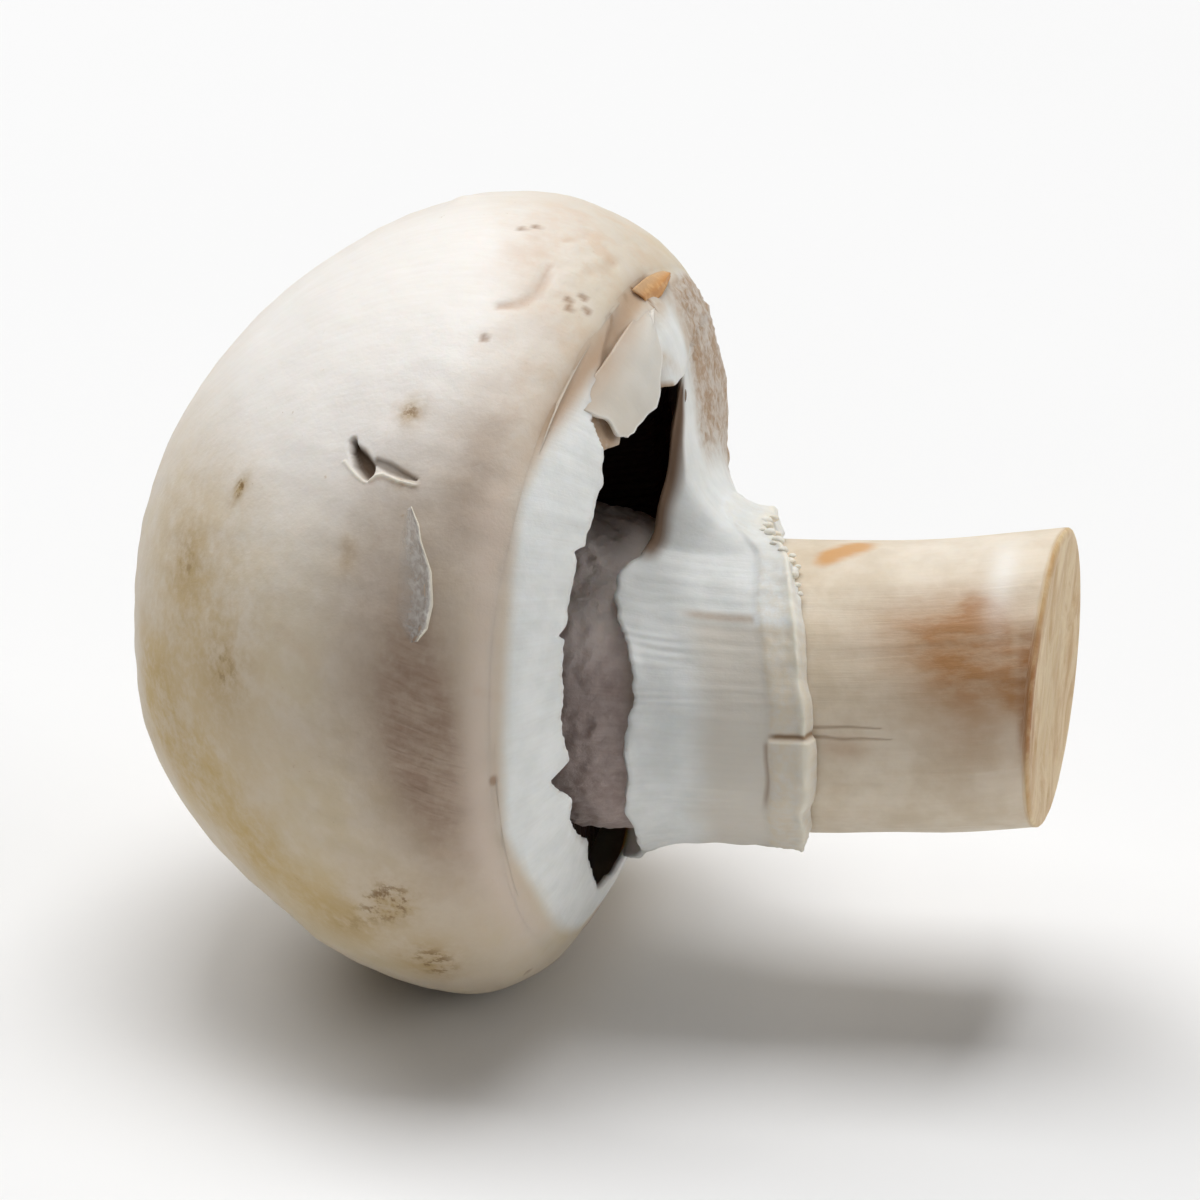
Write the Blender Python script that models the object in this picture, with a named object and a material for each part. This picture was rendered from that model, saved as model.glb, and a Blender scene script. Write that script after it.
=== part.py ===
"""A button mushroom, picked, its stem cut a little askew, lying on the side of its cap.

It is modelled as it grows, cap up: z runs along the cap's axis towards the crown, z = 0 is the cap's widest
section, and x points to the side where the cap's edge hangs lowest. An empty then lays the whole mushroom on
its side, with the stem along +X and the cap's pressed flat spot on z = 0.

Pieces: the cap's flesh and skin, the dark gills under it, the stem, and the veil, which is the thin skirt
that joined the cap's edge to the stem and has torn open along more than half of its length.
"""

from math import pi, radians, sin

import bmesh
import bpy
import numpy as np
from mathutils import Matrix, Vector

MM = 0.001

# Cap: a dome above the widest section and a curled-in edge below it.
CAP_RADIUS = 22.2 * MM
DOME_HEIGHT = 20.4 * MM
EDGE_DEPTH = 9.05 * MM  # from the widest section to the level of the closed veil
EDGE_DROOP = 1.9 * MM  # the edge hangs this much lower on the +x side, and higher on the other
EDGE_CURL_RADIUS = 12.0 * MM  # distance from the axis at which the edge's curve turns straight in
CAP_SLANT = 0.065  # the widest section leans, dropping this much per metre of x
CONE_TOP, CONE_FOOT = 0.02, 0.08  # how much flatter than round the dome is at +x and at -x
RIDGE_TURN = 45, 6, 8, 5  # degrees round the edge's curve where the skin ends: mean, cos, sin, cos 2 theta
LIP_THICKNESS = 2.0 * MM
FLESH_TOP = 8.3 * MM  # height of the flesh's underside beside the stem

# Stem: a thick root in the cap, a slight waist under the ring, and an oblique cut.
ROOT_RADIUS = 8.9 * MM
STEM_RADIUS = 8.05 * MM
FOOT_SWELL = 0.2 * MM
SOCKET_DEPTH = 2.6 * MM
CUT_HEIGHT = -31.3 * MM
CUT_NORMAL = (-0.103, 0.046, -0.993)
CUT_BEVEL = 0.35 * MM
SWAY_X, SWAY_LEVEL, SWAY_BEND_X = -5.15 * MM, -21 * MM, 5.2  # centre line: x = SWAY_X + bend * (z - level)^2
SWAY_START, SWAY_BEND_Y = 8 * MM, 1.04

# Veil: attached to the cap's edge, standing as a cone on the far side and fallen on to the stem where torn.
VEIL_THICKNESS = 0.6 * MM
VEIL_TURN = radians(84)  # where whole it follows the edge's curve to here, then runs to the ring as a trumpet
STANDING_LEAD = 0.24  # the share of its rows that follow the edge's curve
THROAT_DROP, THROAT_WIDTH = 0.6 * MM, 1.9 * MM  # the corner that the trumpet's curve rounds off
RING_LEVEL, RING_SWING = -16.8 * MM, 2.5 * MM  # the ring's lower rim, lower on the torn side
RING_COLLAR = 0.2 * MM
SLEEVE_TOP, SLEEVE_SWING = -9.5 * MM, 1.0 * MM  # the fallen skirt's torn edge, lower on the upper side
SLEEVE_LOBE, LOBE_PLACE, LOBE_WIDTH = 1.7 * MM, radians(-60), radians(16)  # a lobe of that edge stands higher
SLEEVE_FLARE = 0.35 * MM
RING_FLARE = 0.45 * MM  # the ring's rim stands out this much more on the upper side
TORN_TURN = radians(62)  # the border left on the cap ends this far round the edge's curve
TORN_SWING = radians(4)  # and a little further on the -x, +y side
TORN_FLAP = radians(20)  # and hangs down in a flap beside the tear's upper end
TORN_JAG = radians(2.2)
TEAR_START, TEAR_END = radians(150), radians(341)  # the tear runs between these angles round the axis
START_CLOSING, END_CLOSING = radians(27), radians(22)  # the torn skirt rises over these to meet the cap again

# Gills: thin plates hanging from the flesh, long ones with a short one between each two.
LONG_GILLS = 30
GILL_PLATE = 0.8 * MM
GILL_TIP, GILL_ROOT = 0.6 * MM, 0.78 * MM
GILL_LEVEL = -5.9 * MM
GILL_TILT = 0.165  # their free edges follow the slant of the cap's edge

GAP = 0.3 * MM  # left between pieces that touch
CAP_COLUMNS, STEM_COLUMNS, VEIL_COLUMNS = 64, 40, 72

# How it lies.
ROLL = radians(24.5)  # about the stem, bringing the low edge up and away
RISE = radians(5)  # the stem's end points this much upwards
FLAT_SPOT_DEPTH = 0.45 * MM


def smooth(value, low, high):
    """0 below low, 1 above high, and an S-curve between."""
    t = np.clip((np.asarray(value, float) - low) / (high - low), 0, 1)
    return t * t * (3 - 2 * t)


def around(columns):
    return np.arange(columns) * 2 * pi / columns


def ring(radius, theta, z, centre=(0, 0)):
    """One closed row of points, radius and z being one number or one for each angle."""
    radius, z = np.broadcast_to(radius, theta.shape), np.broadcast_to(z, theta.shape)
    return np.stack([centre[0] + radius * np.cos(theta), centre[1] + radius * np.sin(theta), z], -1)


# --- Shapes shared by the pieces -------------------------------------------------------------------------


def edge_depth(theta):
    return EDGE_DEPTH + EDGE_DROOP * np.cos(theta)


def ridge(theta):
    """Angle along the edge's curve at which the cap's skin ends."""
    mean, across, aside, twofold = np.radians(RIDGE_TURN)
    return mean + across * np.cos(theta) + aside * np.sin(theta) + twofold * np.cos(2 * theta)


def slanted(points):
    points[..., 2] -= CAP_SLANT * points[..., 0]
    return points


def lumps(theta, rise):
    """Unevenness of the dome as a share of its radius, none at the crown, where rise is 90 degrees."""
    waves = ((0.010, 2, 0.6), (0.006, 3, -1.1), (0.004, 5, 2.0))
    return sum(size * np.cos(number * theta + start) for size, number, start in waves) * np.cos(rise)


def dome_ring(theta, rise):
    """A row on the dome, rise degrees above the widest section as seen from its centre."""
    cone = CONE_TOP + (CONE_FOOT - CONE_TOP) * (1 - np.cos(theta)) / 2
    radius = CAP_RADIUS * np.cos(rise) * (1 - cone * sin(2 * rise) ** 2 + lumps(theta, rise))
    return slanted(ring(radius, theta, DOME_HEIGHT * np.sin(rise)))


def edge_ring(theta, turn, inset=0.0):
    """A row on the curled edge, turn being the angle below the widest section, moved inwards by inset."""
    across = CAP_RADIUS * (1 + lumps(theta, 0.0)) - EDGE_CURL_RADIUS
    depth = edge_depth(theta)
    radius = EDGE_CURL_RADIUS + across * np.cos(turn)
    z = -depth * np.sin(turn)
    if inset:
        slope = np.hypot(np.cos(turn) / across, np.sin(turn) / depth)
        radius = radius - inset * np.cos(turn) / across / slope
        z = z + inset * np.sin(turn) / depth / slope
    return slanted(ring(radius, theta, z))


def stem_centre(z):
    return (
        SWAY_X + SWAY_BEND_X * (z - SWAY_LEVEL) ** 2,
        SWAY_BEND_Y * (z - SWAY_START) ** 2,
    )


def stem_radius(z):
    waist = smooth(-np.asarray(z), 6.0 * MM, 11.5 * MM)
    foot = smooth(-np.asarray(z), 22 * MM, 31 * MM)
    return ROOT_RADIUS + (STEM_RADIUS - ROOT_RADIUS) * waist + FOOT_SWELL * foot


def stem_ring(theta, z, outside=0.0):
    """A row round the stem, outside its surface by the given amount, which may differ with the angle."""
    z = np.broadcast_to(z, theta.shape)
    lobes = 1 + 0.012 * np.cos(2 * theta - 0.5) + 0.008 * np.cos(3 * theta + 1.3)
    radius = stem_radius(z) * lobes + outside
    x, y = stem_centre(z)
    return np.stack([x + radius * np.cos(theta), y + radius * np.sin(theta), z], -1)


def flesh_ring(theta, climb, shrink=0.0):
    """A row on the flesh's hollow underside: climb is 0 at the lip and 90 degrees beside the stem."""
    lip = edge_ring(theta, ridge(theta), LIP_THICKNESS)
    root = np.array([*stem_centre(FLESH_TOP), FLESH_TOP])
    inner = ring(ROOT_RADIUS + 2 * GAP, theta, 0.0) + root
    level = np.stack([lip[:, 0], lip[:, 1]], -1) - inner[:, :2]
    reach = np.linalg.norm(level, axis=1, keepdims=True)
    flat = inner[:, :2] + level * (1 - shrink / reach) * np.cos(climb)
    z = lip[:, 2] + (FLESH_TOP - lip[:, 2] - shrink) * np.sin(climb)
    return np.concatenate([flat, z[:, None]], 1)


# --- Meshes ----------------------------------------------------------------------------------------------


def loft(rows, first_pole=None, last_pole=None, close=False):
    """A bmesh skin over rows of points, each joined to the next by quads, with a pole at either end or,
    when close is set, the last row joined to the first."""
    bm = bmesh.new()
    loops = [[bm.verts.new(p) for p in row] for row in rows]
    pairs = list(zip(loops, loops[1:]))
    if close:
        pairs.append((loops[-1], loops[0]))
    for upper, lower in pairs:
        for i in range(len(upper)):
            j = (i + 1) % len(upper)
            bm.faces.new((upper[i], lower[i], lower[j], upper[j]))
    for pole, loop in ((first_pole, loops[0]), (last_pole, loops[-1])):
        if pole is not None:
            tip = bm.verts.new(pole)
            for i in range(len(loop)):
                bm.faces.new((tip, loop[i], loop[(i + 1) % len(loop)]))
    bmesh.ops.recalc_face_normals(bm, faces=bm.faces)
    return bm


def add_object(name, bm, material, parent):
    mesh = bpy.data.meshes.new(name)
    bm.to_mesh(mesh)
    bm.free()
    mesh.shade_smooth()
    mesh.set_sharp_from_angle(angle=radians(40))
    mesh.materials.append(material)
    obj = bpy.data.objects.new(name, mesh)
    bpy.context.scene.collection.objects.link(obj)
    obj.parent = parent
    return obj


def finish(name, colour, roughness):
    material = bpy.data.materials.new(name)
    material.use_nodes = True
    shader = material.node_tree.nodes["Principled BSDF"]
    shader.inputs["Base Color"].default_value = (*colour, 1)
    shader.inputs["Roughness"].default_value = roughness
    shader.inputs["Metallic"].default_value = 0.0
    shader.inputs["Subsurface Weight"].default_value = 0.2
    shader.inputs["Subsurface Scale"].default_value = 1.5 * MM
    return material


# --- Pieces ----------------------------------------------------------------------------------------------


def cap_mesh():
    """Dome and curled edge outside, a lip where the veil begins, and the hollow underside with the socket."""
    theta = around(CAP_COLUMNS)
    rows = [dome_ring(theta, radians(rise)) for rise in (84, 77, 69, 61, 53, 45, 37, 29, 21, 14, 7, 0)]
    end = ridge(theta) - GAP / (EDGE_DEPTH * 0.95)
    rows += [edge_ring(theta, end * share) for share in (0.28, 0.55, 0.8, 1.0)]
    rows += [edge_ring(theta, end, LIP_THICKNESS * 0.5)]
    rows += [flesh_ring(theta, radians(climb)) for climb in (2, 14, 27, 40, 53, 66, 78, 90)]
    floor = FLESH_TOP + SOCKET_DEPTH
    x, y = stem_centre(FLESH_TOP)
    socket = ring(ROOT_RADIUS + 2 * GAP, theta, floor, (x, y))
    rows += [socket]
    return loft(rows, (0, 0, DOME_HEIGHT), (x, y, floor))


def stem_mesh():
    """A swept round, from the root in its socket to the oblique cut with its small bevel."""
    theta = around(STEM_COLUMNS)
    root = FLESH_TOP + SOCKET_DEPTH - GAP
    rows = [stem_ring(theta, root, -1.2 * MM), stem_ring(theta, root - 0.6 * MM, -0.1 * MM)]
    levels = np.array([8.0, 3.5, -1.0, -5.0, -7.0, -9.0, -11.5, -15.0, -19.0, -23.0, -27.0]) * MM
    rows += [stem_ring(theta, z) for z in levels]
    slope_x, slope_y = -CUT_NORMAL[0] / CUT_NORMAL[2], -CUT_NORMAL[1] / CUT_NORMAL[2]
    x, y = stem_centre(CUT_HEIGHT)
    for inset in (0.0, CUT_BEVEL):
        row = stem_ring(theta, CUT_HEIGHT, -inset)
        row[:, 2] += slope_x * (row[:, 0] - x) + slope_y * (row[:, 1] - y) + CUT_BEVEL - inset
        rows.append(row)
    return loft(rows, (*stem_centre(root), root), (x, y, CUT_HEIGHT))


def gill_mesh():
    """A thin plate under the flesh from which the gills stand out as radial blades, all one body.

    Each gill takes four columns of points, root, tip, tip and root again. On the tip columns the surface
    drops from the plate to the gills' level, so the blades are raised by formula and need no joining."""
    count = 2 * LONG_GILLS
    middle = np.repeat(around(count), 4)
    side = np.tile([-1, -1, 1, 1], count)
    tip = np.tile([False, True, True, False], count)
    short = np.repeat(np.arange(count) % 2 == 1, 4)
    climbs = np.radians([7, 15, 27, 41, 55, 69, 82])

    def row(climb, shrink, blades):
        theta = middle
        for _ in range(2):  # the half thickness is a length, so its angle depends on the radius found
            points = flesh_ring(theta, climb, shrink)
            radius = np.hypot(points[:, 0], points[:, 1])
            theta = middle + side * np.where(tip, GILL_TIP, GILL_ROOT) / 2 / radius
        points = flesh_ring(theta, climb, shrink)
        if blades:
            level = GILL_LEVEL - GILL_TILT * points[:, 0]
            outer, root = smooth(climb, radians(4), radians(26)), smooth(climb, radians(66), radians(83))
            share = outer * (1 - 0.92 * root)
            fade = np.where(short, 1 - smooth(climb, radians(34), radians(52)), 1.0)
            drop = np.maximum(points[:, 2] - level, 0) * share * fade
            points[:, 2] -= np.where(tip, np.maximum(drop, 0.05 * MM), 0.0)
        return points

    back = [row(climb, GAP * 1.3, False) for climb in climbs[[-1, 3, 0]]]
    front = [row(climb, GAP * 1.3 + GILL_PLATE, True) for climb in climbs]
    return loft(back + front, close=True)


def tear(theta):
    """1 where the veil is whole and 0 where it is torn, with the rise between."""
    place = np.mod(theta - TEAR_START, 2 * pi)
    length = TEAR_END - TEAR_START
    inside = (place > 0) & (place < length)
    rise = np.maximum(1 - smooth(place, 0, START_CLOSING), smooth(place, length - END_CLOSING, length))
    return np.where(inside, rise, 1.0)


def torn_turn(theta):
    """Where along the edge's curve the border left on the cap ends: a jagged line with a flap."""
    column = np.arange(len(theta))
    jag = TORN_JAG * (np.where(column % 2 == 0, 1, -0.6) + np.sin(column * 2.3))
    flap = TORN_FLAP * smooth(np.cos(theta + radians(41)), 0.91, 0.985)
    return TORN_TURN + TORN_SWING * np.sin(theta - radians(45)) + flap + jag * (1 - tear(theta))


def standing_point(theta, share):
    """The veil as it stood when whole: share 0 at the border, 1 at the ring on the stem."""
    start = torn_turn(theta)
    on_edge = edge_ring(theta, start + (VEIL_TURN - start) * min(share / STANDING_LEAD, 1))
    corner = edge_ring(theta, np.full_like(theta, VEIL_TURN))
    throat = stem_ring(theta, corner[:, 2] - THROAT_DROP, THROAT_WIDTH)
    foot = sleeve_point(theta, 1)
    along = max(share - STANDING_LEAD, 0) / (1 - STANDING_LEAD)
    curve = corner * (1 - along) ** 2 + throat * 2 * along * (1 - along) + foot * along**2
    return on_edge if share < STANDING_LEAD else curve


def sleeve_point(theta, share):
    """The veil fallen on to the stem: share 0 at its torn edge, 1 at the ring's lower rim."""
    from_lobe = np.mod(theta - LOBE_PLACE + pi, 2 * pi) - pi
    top = SLEEVE_TOP - SLEEVE_SWING * np.cos(theta) + SLEEVE_LOBE * np.exp(-((from_lobe / LOBE_WIDTH) ** 2))
    rim = RING_LEVEL + RING_SWING * np.sin(theta + radians(16))
    collar = RING_COLLAR * smooth(share, 0.72, 0.8)
    flare = RING_FLARE * smooth(np.cos(theta - radians(10)), 0.2, 1) * share
    off = VEIL_THICKNESS + GAP + SLEEVE_FLARE * (1 - share) ** 2 + collar + flare
    return stem_ring(theta, top + (rim - top) * share, off)


def veil_mesh():
    """A sheet in two bands, one left on the cap's edge and one on the stem, which share their border where
    the veil is whole and have torn, jagged edges elsewhere. Solidify later gives it its thickness, inwards."""
    theta = around(VEIL_COLUMNS)
    whole = tear(theta)
    bm = bmesh.new()

    def add(points, shared=None):
        joined = [shared is not None and part > 0.999 for part in whole]
        return [shared[i] if joined[i] else bm.verts.new(p) for i, p in enumerate(points)]

    start, end = ridge(theta), torn_turn(theta)
    outer = [add(edge_ring(theta, start + (end - start) * share)) for share in (0, 0.34, 0.67, 1.0)]
    inner = []
    for share in (0, 0.12, 0.24, 0.38, 0.52, 0.66, 0.82, 1.0):
        fallen = sleeve_point(theta, share)
        points = fallen + (standing_point(theta, share) - fallen) * whole[:, None]
        inner.append(add(points, outer[-1] if share == 0 else None))
    for band in (outer, inner):
        for upper, lower in zip(band, band[1:]):
            for i in range(VEIL_COLUMNS):
                j = (i + 1) % VEIL_COLUMNS
                bm.faces.new((upper[i], lower[i], lower[j], upper[j]))
    return bm


def laid_matrix(points):
    """Turns the growing mushroom on to its side and puts the middle of its footprint at the origin."""
    turned = Matrix.Rotation(-pi / 2 - RISE, 4, "Y") @ Matrix.Rotation(ROLL, 4, "Z")
    placed = points @ np.array(turned.to_3x3()).T
    low, high = placed.min(0), placed.max(0)
    middle = (low + high) / 2
    return Matrix.Translation((-middle[0], -middle[1], -low[2] - FLAT_SPOT_DEPTH)) @ turned


def press_flat(bm, laid):
    """Cuts away what would lie below the floor, which leaves the flat spot the cap rests on."""
    back = laid.inverted()
    floor = back @ Vector((0, 0, 0))
    up = back.to_3x3() @ Vector((0, 0, 1))
    cut = bmesh.ops.bisect_plane(
        bm,
        geom=bm.verts[:] + bm.edges[:] + bm.faces[:],
        dist=1e-7,
        plane_co=floor,
        plane_no=up,
        clear_inner=True,
    )
    rim = [edge for edge in cut["geom_cut"] if isinstance(edge, bmesh.types.BMEdge)]
    bmesh.ops.contextual_create(bm, geom=rim)
    bmesh.ops.recalc_face_normals(bm, faces=bm.faces)


def main():
    for obj in list(bpy.data.objects):
        bpy.data.objects.remove(obj)
    skin = finish("cap_skin", (0.82, 0.77, 0.69), 0.55)
    flesh = finish("stem_flesh", (0.84, 0.78, 0.68), 0.6)
    membrane = finish("veil_membrane", (0.85, 0.84, 0.80), 0.6)
    spores = finish("gill_brown", (0.035, 0.022, 0.017), 0.75)

    cap, stem = cap_mesh(), stem_mesh()
    laid = laid_matrix(np.array([vertex.co for bm in (cap, stem) for vertex in bm.verts]))
    press_flat(cap, laid)
    side = bpy.data.objects.new("laid_on_its_side", None)
    bpy.context.scene.collection.objects.link(side)
    side.matrix_world = laid
    add_object("cap", cap, skin, side)
    add_object("stem", stem, flesh, side)
    add_object("gills", gill_mesh(), spores, side)
    veil = add_object("veil", veil_mesh(), membrane, side)
    skirt = veil.modifiers.new("thickness", "SOLIDIFY")
    skirt.thickness = VEIL_THICKNESS
    skirt.offset = -1


main()
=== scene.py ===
"""Looks of a picked button mushroom that lies on the side of its cap.

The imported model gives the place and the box. Each surface is worked out again here on a finer grid, as the
mushroom grows and in millimetres: z runs along the cap's axis towards the crown, z = 0 is the cap's widest
section and theta turns round the axis, -90 degrees being the side that faces the camera. One matrix then lays
every piece on its side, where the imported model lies, and turns millimetres into metres.

A point of the cap's outside is given by theta and by its dip, the angle below the widest section seen from
the middle: -90 at the crown, 0 at the widest section and about 45 at the ridge, where the skin ends.
"""

from math import cos, pi, radians, sin

import bpy
import numpy as np
from mathutils import Matrix, Vector


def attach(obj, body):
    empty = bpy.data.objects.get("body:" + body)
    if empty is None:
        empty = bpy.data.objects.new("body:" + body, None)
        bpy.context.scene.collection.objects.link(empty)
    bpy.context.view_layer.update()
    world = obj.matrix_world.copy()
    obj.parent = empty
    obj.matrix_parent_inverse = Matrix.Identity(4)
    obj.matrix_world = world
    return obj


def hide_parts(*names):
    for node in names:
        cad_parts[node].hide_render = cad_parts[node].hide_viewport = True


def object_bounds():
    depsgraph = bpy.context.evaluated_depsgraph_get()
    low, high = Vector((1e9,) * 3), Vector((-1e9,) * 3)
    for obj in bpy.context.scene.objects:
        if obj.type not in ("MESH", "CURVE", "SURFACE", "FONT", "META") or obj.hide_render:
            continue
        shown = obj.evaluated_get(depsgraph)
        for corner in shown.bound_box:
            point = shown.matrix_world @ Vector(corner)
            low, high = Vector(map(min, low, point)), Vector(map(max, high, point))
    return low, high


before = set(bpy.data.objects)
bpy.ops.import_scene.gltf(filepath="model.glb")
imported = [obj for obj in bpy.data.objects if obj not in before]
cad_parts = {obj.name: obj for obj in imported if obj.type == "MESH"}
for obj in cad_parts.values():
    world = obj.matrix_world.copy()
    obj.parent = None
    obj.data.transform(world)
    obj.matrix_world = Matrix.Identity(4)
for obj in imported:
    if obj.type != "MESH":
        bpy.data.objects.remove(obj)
cad_low, cad_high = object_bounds()

MM = 0.001

# Cap.
CAP_RADIUS = 22.2
DOME_HEIGHT = 20.4
EDGE_DEPTH = 9.05  # from the widest section to the level of the closed veil
EDGE_DROOP = 1.9  # the edge hangs this much lower at theta = 0, and higher on the other side
EDGE_CURL_RADIUS = 12.0  # distance from the axis at which the edge's curve turns straight in
CAP_SLANT = 0.065
CONE_TOP, CONE_FOOT = 0.02, 0.08
RIDGE_TURN = 45, 6, 8, 5  # degrees of dip at which the skin ends: mean, cos, sin and cos 2 theta
LIP_THICKNESS = 2.0
FLESH_TOP = 8.3

# Stem.
ROOT_RADIUS = 8.9
STEM_RADIUS = 8.05
FOOT_SWELL = 0.2
SOCKET_DEPTH = 2.6
GAP = 0.3
SOCKET_RADIUS = ROOT_RADIUS + 2 * GAP
CUT_HEIGHT = -31.3
CUT_NORMAL = (-0.103, 0.046, -0.993)
SWAY_X, SWAY_LEVEL, SWAY_BEND_X = -5.15, -21, 0.0052
SWAY_START, SWAY_BEND_Y = 8, 0.00104

# Veil.
SLEEVE_OFF = 0.9  # from the stem to the fallen skirt's outside
VEIL_THICKNESS = 0.34
VEIL_TURN = radians(84)
THROAT_DROP, THROAT_WIDTH = 0.6, 1.9
RING_LEVEL, RING_SWING, RING_TURN = -16.8, 2.5, radians(16)
RING_COLLAR, RING_FLARE = 0.2, 0.45
SLEEVE_TOP, SLEEVE_SWING = -9.5, 1.0
SLEEVE_LOBE, LOBE_PLACE, LOBE_WIDTH = 1.7, radians(-60), radians(16)
SLEEVE_FLARE = 0.35
RIM_NOTCH, NOTCH_PLACE, NOTCH_WIDTH = 0.75, radians(-25), radians(9)
TEAR_START, TEAR_END = radians(150), radians(341)
START_CLOSING, END_CLOSING = radians(27), radians(22)
STANDING_LEAD = 0.24  # share of the standing veil that still follows the cap's edge
TORN_LINE = (  # theta and dip, in degrees, of the corners of the torn border left on the cap
    (-160, 75.5), (-143, 68), (-135, 66.5), (-130, 61.5), (-126.3, 57), (-125.4, 66.5), (-121, 64.5),
    (-112, 60.5), (-98.2, 58.6), (-97.4, 55.6), (-95.6, 57.6), (-84, 59), (-82.4, 55.8), (-81, 61.5),
    (-73, 62.5), (-68, 65), (-62.2, 60.3), (-57.5, 69.8), (-54.5, 72), (-49, 75.5), (-42.5, 79.5), (-40, 80),
    (-36, 78.5), (-30, 82.5), (-22, 83), (-15, 77), (20, 66), (90, 64), (150, 66), (178, 65),
)
TORN_RADIUS = 17.0  # about that of the torn border
TORN_NOTCHES = (0.5, 2.6, 11), (0.3, 0.9, 12), (0.15, 0.4, 13)  # degrees of dip, wavelength and seed
SLEEVE_NOTCHES = (0.16, 3.2, 21), (0.07, 0.8, 22)  # height, wavelength and seed

# Gills.
LONG_GILLS = 140
GILL_PLATE = 0.8
GILL_TIP, GILL_ROOT = 0.26, 0.4
GILL_LEVEL, GILL_TILT = -5.9, 0.165

ROLL, RISE = radians(24.5), radians(5)
FLAT_SPOT_DEPTH, FLAT_SPOT_EASE = 0.45, 0.06
FACING = radians(-95)  # the side on which points lie close together
SLIT_PLACE, SLIT_SPAN = radians(-71), radians(4.5)  # where the skin's slits need them closer still

# Radii of the circles that stand for a turn round the axis in patterns that follow the grain.
SLEEVE_GRAIN, STEM_GRAIN = 9.0, 8.0


def smooth(value, low, high):
    """0 below low, 1 above high, and an S-curve between."""
    t = np.clip((np.asarray(value, float) - low) / (high - low), 0, 1)
    return t * t * (3 - 2 * t)


def bell(distance, width):
    """1 at no distance, falling off on both sides over width."""
    return np.exp(-((distance / width) ** 2))


def facing(theta, degrees, low, high):
    """1 on the side that faces an angle, 0 on the other: an S-curve of the cosine between low and high."""
    return smooth(np.cos(theta - radians(degrees)), low, high)


def spaced(first, last, count, density):
    """Count values from first to last, even steps in the running sum of a density, so they crowd where it is
    high."""
    fine = np.linspace(first, last, 6000)
    total = np.concatenate([[0], np.cumsum(density((fine[1:] + fine[:-1]) / 2))])
    return np.interp(np.linspace(0, total[-1], count), total, fine)


def around(columns, close_up=0.0):
    """Angles once round the axis, crowded on the side called FACING, and at the slits by close_up times."""
    def density(theta):
        return 1 + 0.6 * np.cos(theta - FACING) + close_up * bell(theta - SLIT_PLACE, SLIT_SPAN)

    return spaced(FACING - pi, FACING + pi, columns + 1, density)[:-1]


def ripple(points, wavelength, seed, waves=22):
    """Smooth unevenness, mostly within 1 of zero: the sum of plane waves of random directions and phases,
    with lengths near the given one."""
    rng = np.random.default_rng(seed)
    directions = rng.normal(size=(waves, 3))
    directions /= np.linalg.norm(directions, axis=1, keepdims=True)
    lengths = wavelength * rng.uniform(0.7, 1.4, waves)
    phases = rng.uniform(0, 2 * pi, waves)
    total = 0
    for direction, length, phase in zip(directions, lengths, phases):
        total = total + np.sin(points @ direction * (2 * pi / length) + phase)
    return total / np.sqrt(waves)


def unevenness(points, waves):
    """The sum of ripples, each given by its height, wavelength and seed."""
    return sum(height * ripple(points, wavelength, seed) for height, wavelength, seed in waves)


def ring(radius, theta, z):
    """Points at a radius from the axis, at an angle and a height."""
    radius, theta, z = np.broadcast_arrays(radius, theta, z)
    return np.stack([radius * np.cos(theta), radius * np.sin(theta), z], -1)


def normals_of(grid):
    """Outward unit normals of a grid of rows that are closed loops: the cross product of the steps along
    a column and along a row."""
    down = np.gradient(grid, axis=0)
    onward = np.roll(grid, -1, 1) - np.roll(grid, 1, 1)
    normals = np.cross(down, onward)
    return normals / np.maximum(np.linalg.norm(normals, axis=-1, keepdims=True), 1e-9)


def raised(grid, height):
    """A grid moved out along its normals."""
    return grid + normals_of(grid) * height[..., None]


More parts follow.
